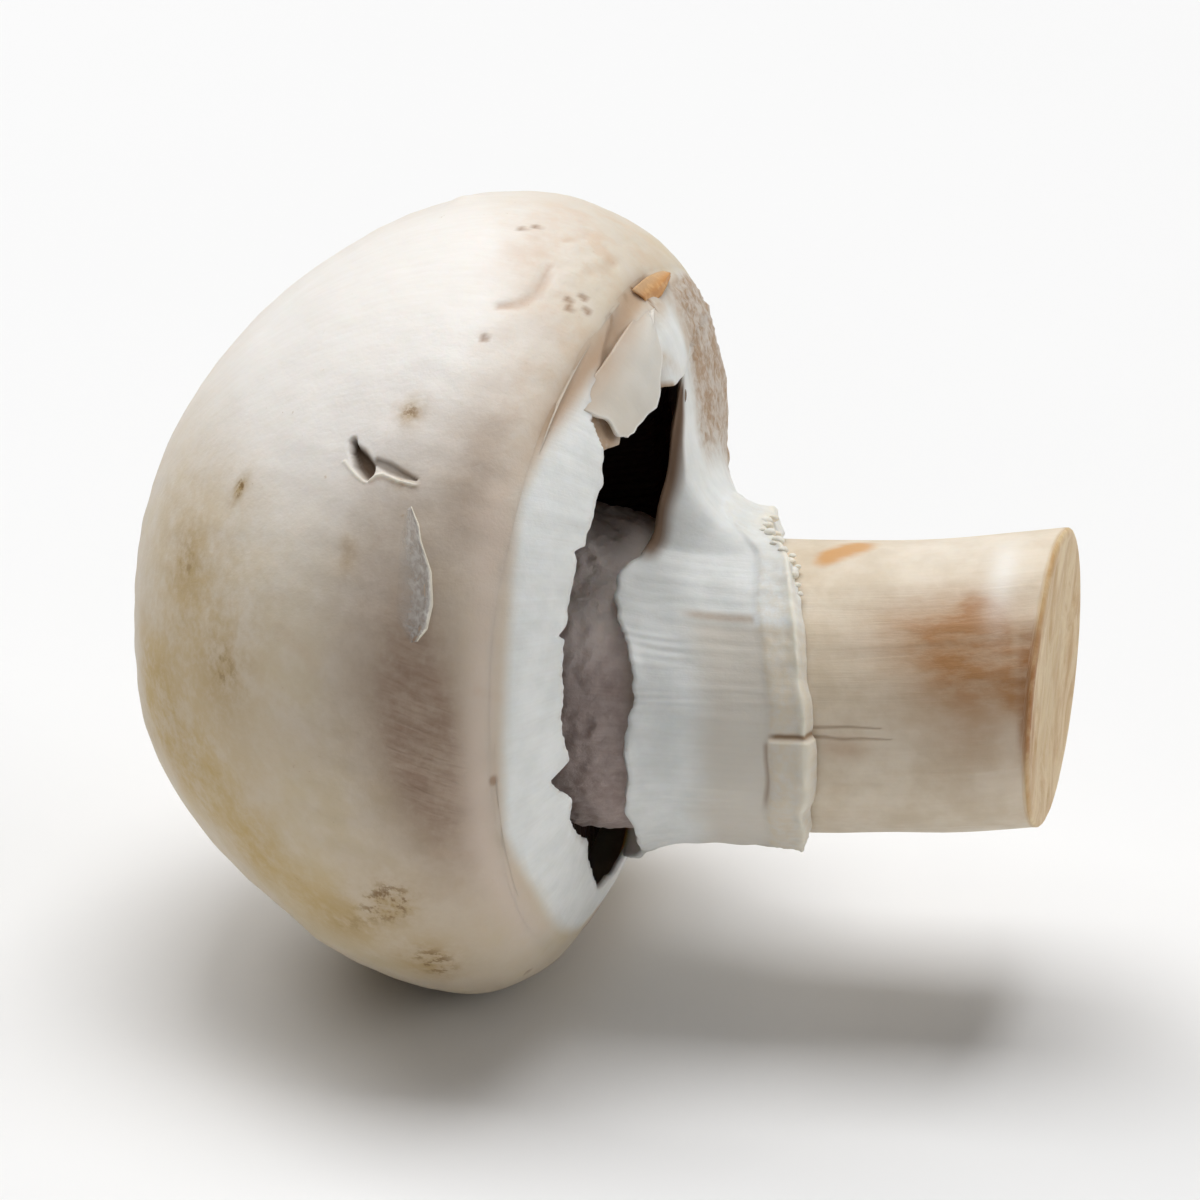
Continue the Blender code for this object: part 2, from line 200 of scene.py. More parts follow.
class Chart:
    """Distances in millimetres on a grid: along its columns from the first row, and round the axis. Grain is
    coordinates for patterns that run along the columns: a circle of one radius, and the distance along."""

    def __init__(self, theta, grid, grain_radius, start=0.0):
        steps = np.linalg.norm(np.diff(grid, axis=0), axis=-1)
        self.along = start + np.concatenate([np.zeros((1, steps.shape[1])), np.cumsum(steps, axis=0)])
        self.theta = np.broadcast_to(theta, self.along.shape)
        level = grid[..., :2] - grid[..., :2].mean(axis=1, keepdims=True)
        self.radius = np.linalg.norm(level, axis=-1)
        self.grain = ring(grain_radius, self.theta, self.along)

    def aside(self, theta):
        """Distance round the axis from an angle given in degrees."""
        return (np.mod(self.theta - radians(theta) + pi, 2 * pi) - pi) * self.radius

    def offset(self, theta, along, lean=0.0):
        """Distances ahead and aside from a place, measured along axes turned by lean degrees."""
        ahead, aside = self.along - along, self.aside(theta)
        turn_cos, turn_sin = cos(radians(lean)), sin(radians(lean))
        return ahead * turn_cos + aside * turn_sin, aside * turn_cos - ahead * turn_sin

    def spot(self, theta, along, length, width, lean=0.0):
        """A bell, 1 at a place and falling off over length ahead of it and width beside it."""
        ahead, aside = self.offset(theta, along, lean)
        return bell(ahead, length) * bell(aside, width)

    def stroke(self, route):
        """A line through places, each given as theta, distance along and half width: 1 on it, falling off
        over the half width."""
        nearest = np.full(self.along.shape, np.inf)
        for (theta, along, width), (next_theta, next_along, next_width) in zip(route, route[1:]):
            ahead, aside = self.offset(theta, along)
            run, turn = next_along - along, radians(next_theta - theta) * self.radius
            share = np.clip((ahead * run + aside * turn) / (run**2 + turn**2 + 1e-9), 0, 1)
            span = width + (next_width - width) * share
            nearest = np.minimum(nearest, np.hypot(ahead - share * run, aside - share * turn) / span)
        return bell(nearest, 1)

    def spread(self, marks):
        """The sum of several bells, each with its own strength, up to 1."""
        return np.clip(sum(strength * self.spot(*place) for *place, strength in marks), 0, 1)

    def lines(self, routes, low=0.2, high=0.75):
        """1 in the cores of several lines."""
        return np.max([smooth(self.stroke(route), low, high) for route in routes], axis=0)

    def grained(self, stretch, wavelength, seed):
        """Unevenness that follows the grain, with its distances round and along multiplied by stretch."""
        return ripple(self.grain * (stretch[0], stretch[0], stretch[1]), wavelength, seed)


# --- Shapes shared by the pieces ---


def ridge(theta):
    """Dip at which the cap's skin ends."""
    mean, across, aside, twofold = np.radians(RIDGE_TURN)
    return mean + across * np.cos(theta) + aside * np.sin(theta) + twofold * np.cos(2 * theta)


def slanted(points):
    """Points of the cap, lower towards theta = 0."""
    points[..., 2] -= CAP_SLANT * points[..., 0]
    return points


def lumps(theta):
    """How much the cap's outline differs from a circle, as a share of its radius."""
    return 0.010 * np.cos(2 * theta + 0.6) + 0.006 * np.cos(3 * theta - 1.1) + 0.004 * np.cos(5 * theta + 2.0)


def dome(theta, rise):
    """Upper cap: a quarter ellipse turned round the axis, flatter half way up and slightly lumpy."""
    cone = CONE_TOP + (CONE_FOOT - CONE_TOP) * (1 - np.cos(theta)) / 2
    radius = CAP_RADIUS * np.cos(rise) * (1 - cone * np.sin(2 * rise) ** 2 + lumps(theta) * np.cos(rise))
    return slanted(ring(radius, theta, DOME_HEIGHT * np.sin(rise)))


def edge(theta, dip, inset=0.0):
    """Curled lower cap: a quarter ellipse from the widest section inwards, moved in by inset."""
    across = CAP_RADIUS * (1 + lumps(theta)) - EDGE_CURL_RADIUS
    depth = EDGE_DEPTH + EDGE_DROOP * np.cos(theta)
    slope = np.hypot(np.cos(dip) / across, np.sin(dip) / depth)
    radius = EDGE_CURL_RADIUS + across * np.cos(dip) - inset * np.cos(dip) / across / slope
    z = -depth * np.sin(dip) + inset * np.sin(dip) / depth / slope
    return slanted(ring(radius, theta, z))


def stem_centre(z):
    """The middle of the stem at a height: it sways along one parabola in x and another in y."""
    x = SWAY_X + SWAY_BEND_X * (z - SWAY_LEVEL) ** 2
    y = SWAY_BEND_Y * (z - SWAY_START) ** 2
    return np.stack([x, y], -1)


def stem_side(theta, z, outside=0.0):
    """The stem's side: a swept, slightly lobed round, thicker at the root, moved out by outside."""
    theta, z, outside = np.broadcast_arrays(theta, np.asarray(z, float), outside)
    waist, foot = smooth(-z, 6.0, 11.5), smooth(-z, 22, 31)
    lobes = 1 + 0.012 * np.cos(2 * theta - 0.5) + 0.008 * np.cos(3 * theta + 1.3)
    radius = (ROOT_RADIUS + (STEM_RADIUS - ROOT_RADIUS) * waist + FOOT_SWELL * foot) * lobes + outside
    points = ring(radius, theta, z)
    points[..., :2] += stem_centre(z)
    return points


def flesh(theta, climb, shrink=0.0):
    """The cap's hollow underside: a quarter ellipse from the lip, climb 0, to the flesh beside the stem,
    climb 90 degrees, moved in by shrink."""
    lip = edge(theta, ridge(theta), LIP_THICKNESS)
    inner = ring(SOCKET_RADIUS, theta, 0.0)[..., :2] + stem_centre(FLESH_TOP)
    level = lip[..., :2] - inner
    reach = np.linalg.norm(level, axis=-1, keepdims=True)
    flat = inner + level * (1 - shrink / reach) * np.cos(climb)[..., None]
    z = lip[..., 2] + (FLESH_TOP - lip[..., 2] - shrink) * np.sin(climb)
    return np.concatenate([flat, z[..., None]], -1)


def tear(theta):
    """1 where the veil is whole and 0 where it is torn, with the rise between."""
    place = np.mod(theta - TEAR_START, 2 * pi)
    length = TEAR_END - TEAR_START
    rise = np.maximum(1 - smooth(place, 0, START_CLOSING), smooth(place, length - END_CLOSING, length))
    return np.where(place < length, rise, 1.0)


def torn_dip(theta):
    """Dip of the border's torn edge: straight stretches between TORN_LINE's corners, with fine notches."""
    corners = np.array(TORN_LINE)
    base = np.interp(np.degrees(theta), corners[:, 0], corners[:, 1], period=360)
    rim = ring(TORN_RADIUS, theta, 0.0)
    return np.radians(base + unevenness(rim, TORN_NOTCHES) * (1 - tear(theta)))


def sleeve(theta, share):
    """The veil fallen on to the stem: share 0 at its torn edge, 1 at the ring's lower rim."""
    rim_line = ring(SLEEVE_GRAIN, theta, 0.0)
    from_lobe = np.mod(theta - LOBE_PLACE + pi, 2 * pi) - pi
    top = SLEEVE_TOP - SLEEVE_SWING * np.cos(theta) + SLEEVE_LOBE * bell(from_lobe, LOBE_WIDTH)
    top = top + unevenness(rim_line, SLEEVE_NOTCHES)
    rim = RING_LEVEL + RING_SWING * np.sin(theta + RING_TURN) + 0.08 * ripple(rim_line, 4.0, 23)
    rim = rim + RIM_NOTCH * bell(theta - NOTCH_PLACE, NOTCH_WIDTH)
    collar = RING_COLLAR * smooth(share, 0.72, 0.8)
    flare = RING_FLARE * facing(theta, 10, 0.2, 1) * share
    off = SLEEVE_OFF + SLEEVE_FLARE * (1 - share) ** 2 + collar + flare
    closing = smooth(share, 0.965, 1.0) * (off - VEIL_THICKNESS)
    return stem_side(theta, top + (rim - top) * share, off - closing)


def standing(theta, share):
    """The veil where whole: share 0 at the border; it follows the edge's curve and then runs to the ring
    along a parabola that rounds off the corner called the throat."""
    start = torn_dip(theta)
    on_edge = edge(theta, start + (VEIL_TURN - start) * np.minimum(share / STANDING_LEAD, 1))
    corner = edge(theta, np.full_like(theta, VEIL_TURN))
    throat = stem_side(theta, corner[..., 2] - THROAT_DROP, THROAT_WIDTH)
    along = (np.maximum(share - STANDING_LEAD, 0) / (1 - STANDING_LEAD))[..., None]
    curve = corner * (1 - along) ** 2 + throat * 2 * along * (1 - along) + sleeve(theta, share) * along**2
    return np.where((share < STANDING_LEAD)[..., None], on_edge, curve)


# --- Meshes ---


def laying_matrix(grown):
    """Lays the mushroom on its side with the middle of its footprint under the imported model's, and its
    pressed flat spot on the floor. Grown is every point of the cap and stem."""
    turned = Matrix.Rotation(-pi / 2 - RISE, 4, "Y") @ Matrix.Rotation(ROLL, 4, "Z")
    placed = grown @ np.array(turned.to_3x3()).T
    low, high = placed.min(0), placed.max(0)
    middle = (cad_low + cad_high) / 2 / MM
    shift = (middle.x - (low[0] + high[0]) / 2, middle.y - (low[1] + high[1]) / 2, -low[2] - FLAT_SPOT_DEPTH)
    return Matrix.Scale(MM, 4) @ Matrix.Translation(shift) @ turned


def laid(points, laying):
    """Points as they lie, in metres. What would be under the floor is pressed flat, easing off above it."""
    matrix = np.array(laying)
    placed = points @ matrix[:3, :3].T + matrix[:3, 3]
    placed[..., 2] = (placed[..., 2] + np.hypot(placed[..., 2], FLAT_SPOT_EASE * MM)) / 2
    return placed


def numbered(grid, start=0):
    """The numbers of a grid's points, row after row."""
    return start + np.arange(grid[..., 0].size).reshape(grid.shape[:2])


def quads(numbers, closed=True):
    """Four-sided faces between neighbouring rows of a grid, given the numbers of its points. The rows of a
    closed grid are loops."""
    after = np.roll(numbers, -1, 1) if closed else numbers[:, 1:]
    before = numbers if closed else numbers[:, :-1]
    return np.stack([before[:-1], before[1:], after[1:], after[:-1]], -1).reshape(-1, 4)


def fan(tip, loop):
    """Three-sided faces from one point to a closed loop, facing away from the inside when the loop is a
    grid's first row."""
    return np.stack([np.full_like(loop, tip), loop, np.roll(loop, -1)], -1)


def with_tips(values, tips=None):
    """Values on a grid as one list, and after them one for the tip that closes each end: those given, or the
    means of the first row and the last."""
    tips = [values[0].mean(0), values[-1].mean(0)] if tips is None else tips
    return np.concatenate([values.reshape(-1, *values.shape[2:]), tips])


def closed_body(rows, start=0):
    """Points and faces of a grid of loops closed by a fan at each end. Start is its first point's number."""
    numbers = numbered(rows, start)
    tip = start + numbers.size
    faces = [quads(numbers), fan(tip, numbers[0]), fan(tip + 1, numbers[-1][::-1])]
    return with_tips(rows), faces


def add_piece(name, points, faces, material, node=None, fields=None):
    """A mesh object of the mushroom, riding on its one body. Fields are values kept at the points for the
    material: numbers or vectors, by name."""
    points = points.reshape(-1, 3)
    used = np.unique(np.concatenate([part.ravel() for part in faces]))
    renumber = np.zeros(len(points), int)
    renumber[used] = np.arange(len(used))
    mesh = bpy.data.meshes.new(name)
    mesh.from_pydata(points[used], [], [face for part in faces for face in renumber[part].tolist()])
    for field, values in (fields or {}).items():
        vector = values.shape[-1] == 3 and values.size == points.size
        kept = values.reshape(-1, 3)[used] if vector else values.reshape(-1)[used]
        attribute = mesh.attributes.new(field, "FLOAT_VECTOR" if vector else "FLOAT", "POINT")
        attribute.data.foreach_set("vector" if vector else "value", kept.astype(np.float32).ravel())
    mesh.shade_smooth()
    mesh.materials.append(material)
    piece = bpy.data.objects.new(name, mesh)
    bpy.context.scene.collection.objects.link(piece)
    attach(piece, "root")
    if node:
        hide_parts(node)
    return piece


def thicken(piece, millimetres):
    """Gives a sheet its thickness, inwards."""
    sheet = piece.modifiers.new("thickness", "SOLIDIFY")
    sheet.thickness = millimetres * MM
    sheet.offset = -1


# --- Cap ---

CAP_COLUMNS = 540
DOME_ROWS = 122
EDGE_SHARES = np.concatenate([np.linspace(0, 0.9, 27)[:-1], np.linspace(0.9, 1, 9)])
DOME_DIPS = np.radians(spaced(
    -89.2, 0, DOME_ROWS, lambda dip: 0.7 + smooth(dip, -50, -25) + 3.6 * bell(dip + 8, 5.5)
))
CROWN_START = 0.3  # distance from the crown to the first row
BROAD_WAVES = (0.09, 16, 1), (0.045, 6, 2), (0.022, 2.2, 3)  # height, wavelength and seed
LIP_INSETS = np.array([0.05, 0.14, 0.3, 0.7, 1.3])[:, None]
PIT_COLOUR_RADIUS = 0.3  # the least radius that a pit's colour has

# A place on the skin is given as theta in degrees and the distance from the crown in millimetres.
SLITS = (  # torn slits in the skin: depth, then places with the half width
    (0.7, ((-66.8, 28.7, 0.2), (-68, 28.8, 0.26), (-69.8, 29.3, 0.44), (-71.6, 29.9, 0.42),
           (-72.7, 30.1, 0.12))),
    (0.2, ((-70.6, 30.4, 0.2), (-71.6, 31.2, 0.26), (-72.6, 32, 0.18), (-73.4, 32.8, 0.06))),
)
LIPS = (  # skin turned up beside the slits: height, then places with the half width
    (0.11, ((-69.8, 28.3, 0.05), (-71.2, 28.8, 0.08), (-72.5, 29.3, 0.09), (-73.5, 29.8, 0.06))),
    (0.15, ((-73.4, 30.1, 0.06), (-72.7, 30.5, 0.09), (-72.6, 30.9, 0.1), (-73.6, 31.8, 0.09),
            (-74.3, 32.8, 0.05))),
)
SCRATCHES = (  # soft furrows, the deepest first: depth, then places with the half width
    (0.16, ((-43.6, 35.9, 0.2), (-42.4, 37.1, 0.35), (-40, 37.8, 0.3), (-36.4, 38.2, 0.4),
            (-32.5, 38.2, 0.2))),
    (0.06, ((-25.5, 38.6, 0.2), (-22, 39.4, 0.3), (-19, 39.4, 0.2))),
    (0.05, ((-31, 40.2, 0.2), (-27, 41.2, 0.3), (-22, 41.6, 0.2))),
    (0.03, ((-62, 31, 0.3), (-63.5, 32.6, 0.3))),
    (0.03, ((-96, 24.5, 0.4), (-99, 26.5, 0.4), (-101, 27, 0.4))),
    (0.04, ((-131, 33, 0.3), (-133, 35, 0.3))),
    (0.04, ((-104.5, 36.5, 0.2), (-107, 38.6, 0.25))),
    (0.12, ((60, 20, 0.5), (66, 22.5, 0.5), (70, 23, 0.5))),
    (0.12, ((148, 30, 0.4), (152, 33, 0.4), (158, 34.5, 0.4))),
)
PITS = (  # small pits: theta, distance, radius, depth
    (-38.6, 39.7, 0.26, 0.16), (-40.3, 39.8, 0.2, 0.14), (-36.4, 40.5, 0.2, 0.12), (-38.8, 40.9, 0.16, 0.1),
    (-49.8, 35.5, 0.24, 0.2), (-29, 43, 0.22, 0.12), (-35.8, 42.6, 0.22, 0.14), (-23.5, 36.8, 0.3, 0.16),
    (-25, 36.1, 0.18, 0.1), (-120.2, 37.1, 0.22, 0.18), (100, 30, 0.28, 0.2), (38, 22, 0.24, 0.16),
    (172, 20, 0.24, 0.16), (-175, 36, 0.26, 0.2),
)
SWELLINGS = (  # broad dents and lumps: theta, distance, length, width, lean, height
    (-11.5, 31.7, 0.9, 0.8, 0, 0.25), (-109, 33, 3.5, 5, 0, -0.3), (-80, 36, 2.5, 3, 10, -0.16),
    (-142, 29.5, 2.6, 2, 30, -0.15), (-86, 31.8, 1, 2.4, 0, -0.14), (-26, 40, 2, 3, 20, 0.18),
    (-45, 40.5, 1.6, 3, 25, 0.14), (-68, 30.8, 0.8, 1.6, -30, 0.12), (115, 27, 4, 5, 0, -0.3),
)
BRUISES = (  # patches of one colour: theta, distance, length, width, lean, strength
    (-110, 33.4, 2.4, 3.8, 0, 0.85), (-104, 31.2, 4.6, 8, 0, 0.42), (-84, 32.4, 3.6, 5, 0, 0.28),
    (-78, 36.2, 2, 3, 15, 0.42), (-66, 36.6, 1.8, 2.4, 10, 0.3), (-128, 34.8, 3.2, 4, 0, 0.55),
)
OCHRES = (
    (-142, 29.9, 2, 1.5, 30, 1), (-73.2, 31.9, 0.8, 0.45, -15, 0.7), (-63.2, 31.9, 0.6, 0.5, 0, 0.5),
    (-84.2, 29.1, 0.6, 0.8, 0, 0.45), (-157.5, 31.7, 1.6, 2.2, 0, 0.9), (-150, 27, 2, 1.6, 30, 0.5),
    (-82.8, 16.3, 1.6, 1.2, 0, 0.6), (-104, 20, 2, 1.6, 0, 0.6), (-70.8, 20.9, 0.7, 0.4, 30, 1),
    (-62, 32.1, 1, 0.8, 0, 0.35), (75, 24, 3, 2.2, 40, 0.7), (165, 27, 2.2, 3.2, 20, 0.6),
    (30, 34, 1.6, 3.4, 0, 0.6),
)
GOLDS = (
    (-123, 12, 2.8, 2.8, 60, 1), (-134, 16.5, 3.2, 2.6, 60, 1), (-142, 21, 3.2, 2.8, 60, 1),
    (-148, 25.5, 3, 2.4, 60, 0.8), (-156, 30, 2.6, 2.4, 60, 0.4), (-88, 15.5, 5.5, 5.5, 0, 0.6),
    (-104, 21, 6, 6.5, 0, 0.4), (120, 14, 3.2, 3.8, 0, 0.5), (165, 22, 4, 4, 0, 0.4),
)
PINKS = (
    (-26, 37, 2, 4, 0, 0.4), (-40, 38.4, 1.8, 2.6, 20, 0.4), (-60, 38, 1.6, 2.5, 0, 0.4),
    (-96, 40, 2.2, 5, 0, 0.5), (-140, 36, 3, 5, 0, 0.4), (60, 38, 2.4, 6, 0, 0.5), (140, 37, 2.4, 6, 0, 0.5),
)
PALES = (
    (-35, 22, 13, 14, 0, 0.75), (-48, 28, 8, 8, 0, 0.7), (-27, 34, 7, 12, 0, 0.5), (30, 28, 10, 12, 0, 0.6),
)
CRINKLES = ((-26, 40.5, 4.5, 9, 0, 1), (110, 41, 4, 16, 0, 0.6))

# The valley between the skin and the flaps, and the line where the skin's colour ends, which lies a little
# further out than the ridge: theta, distance from the crown and, for the valley, half width.
VALLEY = (
    (-20, 43.8, 0.6), (-27, 43.5, 0.8), (-35.2, 43.3, 0.92), (-43, 42.6, 0.96), (-50, 41.6, 0.96),
    (-56, 40.8, 0.92), (-60, 40.2, 0.86), (-64.2, 39.6, 0.8), (-70, 38.9, 0.72), (-78, 38.3, 0.62),
)
VALLEY_DEPTH = 0.24
SKIN_END = (
    (-168.5, 39), (-149.2, 38.5), (-131.2, 37.2), (-115.2, 37.7), (-101.8, 38.2), (-92.8, 38.4),
    (-86.8, 38.5), (-76, 38.6), (-64.2, 39.8), (-56, 41.2), (-50, 42), (-43, 43), (-35.2, 43.8), (-27, 44.2),
    (-12, 44.6), (20, 43.8), (70, 41.5), (120, 40), (160, 39.4),
)


def cap_grid(theta):
    """The cap's rows of points: outside from the crown to the ridge, then the lip, and the hollow inside up
    to the stem's socket."""
    end = ridge(theta)
    outside = np.concatenate([dome(theta, -DOME_DIPS[:, None]), edge(theta, end * EDGE_SHARES[1:, None])])
    lip = edge(theta, end + radians(0.6) * (1 - np.exp(-LIP_INSETS / 0.1)), LIP_INSETS)
    inside = flesh(theta[None, :], np.radians(np.linspace(2, 90, 14))[:, None])
    socket = ring(SOCKET_RADIUS, theta, FLESH_TOP + SOCKET_DEPTH)
    socket[..., :2] += stem_centre(FLESH_TOP)
    return outside, np.concatenate([lip, inside, socket[None]])


def valley(chart):
    """The valley's form, which fades out downwards along the cap."""
    return chart.stroke(VALLEY) * facing(chart.theta, -36, 0.76, 0.92)


def from_skin_end(chart):
    """Distance past the line where the skin's colour ends."""
    angles, distances = np.array(SKIN_END).T
    return chart.along - np.interp(np.degrees(chart.theta), angles, distances, period=360)


def skin_fields(chart):
    """The marks of the cap's skin, for the skin and for the veil's border, where the last of it runs out."""
    deepest = SCRATCHES[0][0]
    scratches = [depth / deepest * smooth(chart.stroke(route), 0.1, 0.9) for depth, route in SCRATCHES]
    pits = [
        chart.spot(*place, max(radius, PIT_COLOUR_RADIUS), max(radius, PIT_COLOUR_RADIUS))
        for *place, radius, _ in PITS
    ]
    patches = {
        "crinkle": CRINKLES, "bruise": BRUISES, "ochre": OCHRES, "gold": GOLDS, "pink": PINKS, "pale": PALES,
    }
    return {name: chart.spread(marks) for name, marks in patches.items()} | {
        "pit": smooth(np.max(pits, axis=0), 0.2, 0.8),
        "scratch": np.max(scratches, axis=0),
        "valley": valley(chart),
        "end_band": bell(from_skin_end(chart) + 1.2, 1.2) * facing(chart.theta, -118, 0.6, 0.8),
    }


def broad(points):
    """Unevenness of the whole cap, the same for the skin and for all that lies on it."""
    return unevenness(points, BROAD_WAVES)


def shared_relief(chart, grid):
    """What the skin and the veil's border have in common, so that no step shows where one runs out over the
    other: broad unevenness, dents and lumps, and the valley."""
    swellings = sum(rise * chart.spot(*place) for *place, rise in SWELLINGS)
    return broad(grid) + swellings - VALLEY_DEPTH * valley(chart)


def cap_relief(chart, grid):
    """Height of the skin over the plain form: unevenness, and each mark a bell or a line of its depth."""
    height = np.zeros_like(chart.along)
    for rise, route in LIPS:
        height += rise * chart.stroke(route)
    for depth, route in SCRATCHES:
        height -= depth * chart.stroke(route)
    for *place, radius, depth in PITS:  # each has a low wall round it
        height -= 0.7 * depth * chart.spot(*place, radius, radius)
        height += 0.25 * depth * chart.spot(*place, 2 * radius, 2 * radius)
    height += (0.6 - np.abs(ripple(grid, 1.6, 4))) * 0.07 * chart.spread(CRINKLES)
    height *= smooth(chart.along[-1] - chart.along, 0.5, 1.7)
    slits = [depth * smooth(chart.stroke(route), 0.2, 0.75) for depth, route in SLITS]
    return height + shared_relief(chart, grid) - np.max(slits, axis=0)


def add_cap(theta, grid, inner, laying, material):
    """The cap as one closed mesh, its skin and its hollow underside."""
    chart = Chart(theta, grid, CAP_RADIUS, CROWN_START)
    skin = raised(grid, cap_relief(chart, grid))
    points, faces = closed_body(np.concatenate([skin, inner]))

    def whole(values, inside=0.0):
        return with_tips(np.concatenate([values, np.full(inner.shape[:2], inside)]))

    (_, main_slit), (_, side_slit) = SLITS
    grain = np.concatenate([chart.grain, np.repeat(chart.grain[-1:], len(inner), axis=0)])
    fields = {name: whole(values) for name, values in skin_fields(chart).items()} | {
        "hollow": whole(np.maximum(chart.lines([main_slit]), 0.45 * chart.lines([side_slit]))),
        "lip": whole(chart.lines([route for _, route in LIPS], 0.1, 0.9)),
        "underside": whole(np.zeros_like(chart.along), 1.0),
        "grain": with_tips(grain, np.zeros((2, 3))),
    }
    add_piece("cap_skin_and_flesh", laid(points, laying), faces, material, "cap", fields)
    return skin


class Skin:
    """The finished outside of the cap, so that scraps can be laid on it by theta and dip."""

    def __init__(self, theta, grid):
        self.theta, self.grid, self.normals = theta, grid, normals_of(grid)

    def at(self, theta, dip, height=0.0):
        """Points at a height over the skin: the four nearest points of the grid, weighted by nearness."""
        first = self.theta[0]
        turns = np.concatenate([self.theta, [first + 2 * pi]])
        column = np.interp(np.mod(theta - first, 2 * pi) + first, turns, np.arange(len(turns)))
        on_dome = np.interp(dip, DOME_DIPS, np.arange(DOME_ROWS))
        on_edge = DOME_ROWS - 1 + np.interp(dip / ridge(theta), EDGE_SHARES, np.arange(len(EDGE_SHARES)))
        row = np.where(dip < 0, on_dome, on_edge)
        return self.blend(self.grid, row, column) + self.blend(self.normals, row, column) * height[..., None]

    def blend(self, values, row, column):
        """Values of the grid at rows and columns that needn't be whole numbers."""
        r = np.minimum(row.astype(int), len(values) - 2)
        c = column.astype(int) % values.shape[1]
        after = (c + 1) % values.shape[1]
        down, onward = (row - r)[..., None], (column - column.astype(int))[..., None]
        upper = values[r, c] * (1 - onward) + values[r, after] * onward
        lower = values[r + 1, c] * (1 - onward) + values[r + 1, after] * onward
        return upper * (1 - down) + lower * down


# --- Veil ---

VEIL_COLUMNS = 710
BORDER_SHARES = np.concatenate([np.linspace(0, 0.3, 13)[:-1], np.linspace(0.3, 1, 11)])[:, None]
SLEEVE_SHARES = np.concatenate([
    np.linspace(0, 0.7, 28)[:-1], np.linspace(0.7, 0.94, 11)[:-1], np.linspace(0.94, 1, 9),
])[:, None]
PLEAT_SPACING = 0.55
RING_TOP = 0.745  # share of the sleeve at which the ring begins
SPLIT = -109  # degrees: where the ring is split and its lower part lies over the upper
LINE = -66  # degrees: a brown line along the fallen skirt, above which it is white and smooth
SEAM_TUCK = 5.5  # degrees by which the border starts under the skin's end
TUCK_DEPTH, OVERLAP = 0.06, 0.004  # how deep it starts, and how far it lies over the skin's end
FLAP_HOLLOW = 0.42  # depth to which the border is sunk under and beside the torn flap
HOLLOW_SIDE = ((42.4, -55.6), (43, -58.8), (43.9, -62), (44.6, -64.5))  # distance and theta of its side
BLOB = (-25.5, 47.2, 2, 1.5, 20)  # the white swelling beside the torn flap
CRACKS = (  # torn lines on the border: theta, distance from the crown and half width
    ((-39, 47.6, 0.1), (-36, 47.9, 0.16), (-30, 49.1, 0.13), (-24, 49.7, 0.05)),
    ((-41.5, 48.3, 0.08), (-38, 48.7, 0.15), (-33, 49.3, 0.08)),
    ((-25.5, 43.1, 0.1), (-24, 44.4, 0.13), (-24.5, 45, 0.08)),
)
# The tan of these patches is painted shade in the border's concave folds beside the flake and the flaps.
TANS = (  # tan patches of the border: theta, distance, length, width, lean, strength
    (-22, 44.9, 0.9, 2.2, 0, 0.8), (-31.5, 46.8, 1.6, 0.4, 30, 0.6), (-16, 48, 2.4, 0.7, 0, 0.7),
)


def distance_to(theta, dip):
    """Distance from the crown to a dip on the edge, measured over the plain form."""
    on_edge = edge(theta, dip * np.linspace(0, 1, 24)[:, None])
    rows = np.concatenate([dome(theta, -DOME_DIPS[:, None]), on_edge])
    return Chart(theta, rows, CAP_RADIUS, CROWN_START).along[-1]


def flap_hollow(chart):
    """1 where the border is sunk: under the torn flap and, as a wedge, past its left side."""
    distances, angles = np.array(HOLLOW_SIDE).T
    turn = np.degrees(chart.theta)
    past_side = smooth(turn - np.interp(chart.along, distances, angles), 0.0, 0.9)
    return past_side * (1 - smooth(turn, -38, -31)) * smooth(chart.along, 42.4, 43.0)


def scales(chart, seed):
    """The scaly relief of the cap's margin, with the seed of its pattern."""
    return margin_mask(chart.theta) * np.abs(chart.grained((0.4, 1.6), 0.9, seed)) * 0.13


def margin_mask(theta):
    """1 on the upper far side of the cap's edge, which is brown and scaly."""
    return facing(theta, 50, 0.342, 0.5)


def border_relief(chart, grid):
    """The cap's own unevenness, the start under the skin's end, the valley, fine lines and soft pleats
    running to the torn edge, a wavy curl of the edge itself, and the hollow under the torn flap."""
    share = np.broadcast_to(BORDER_SHARES, chart.along.shape)
    from_seam = chart.along - distance_to(chart.theta[0], ridge(chart.theta[0]))
    tuck = (TUCK_DEPTH + OVERLAP) * smooth(-from_seam, 0.15, 1.1) - OVERLAP
    torn = 1 - tear(chart.theta)
    lines = 0.006 * chart.grained((1, 0.12), 0.7, 31)
    pleats = 0.03 * chart.grained((1, 0.1), 1.4, 33) * smooth(share, 0.4, 0.9) * torn
    pleats *= smooth(-np.sin(chart.theta), 0.75, 0.95)
    curl = (ripple(grid, 3.0, 32) * 0.10 + 0.06) * smooth(share, 0.8, 1.0) * torn
    height = (lines + pleats + scales(chart, 34)) * smooth(from_skin_end(chart), 0.0, 1.0) + curl - tuck
    return height + shared_relief(chart, grid) - FLAP_HOLLOW * flap_hollow(chart) + 0.28 * chart.spot(*BLOB)


def scaly_share(share):
    """1 on the standing veil's upper part, which has the margin's scales, and 0 below."""
    return 1 - smooth(share, 0.42, 0.66)


def in_ring(share):
    """1 in the ring and 0 above it."""
    return smooth(share, RING_TOP, RING_TOP + 0.02)


def lower_part_over(past):
    """1 where the ring's lower part lies over the upper, given the distance past the split."""
    return 1 - smooth(past, 3.0, 4.6)


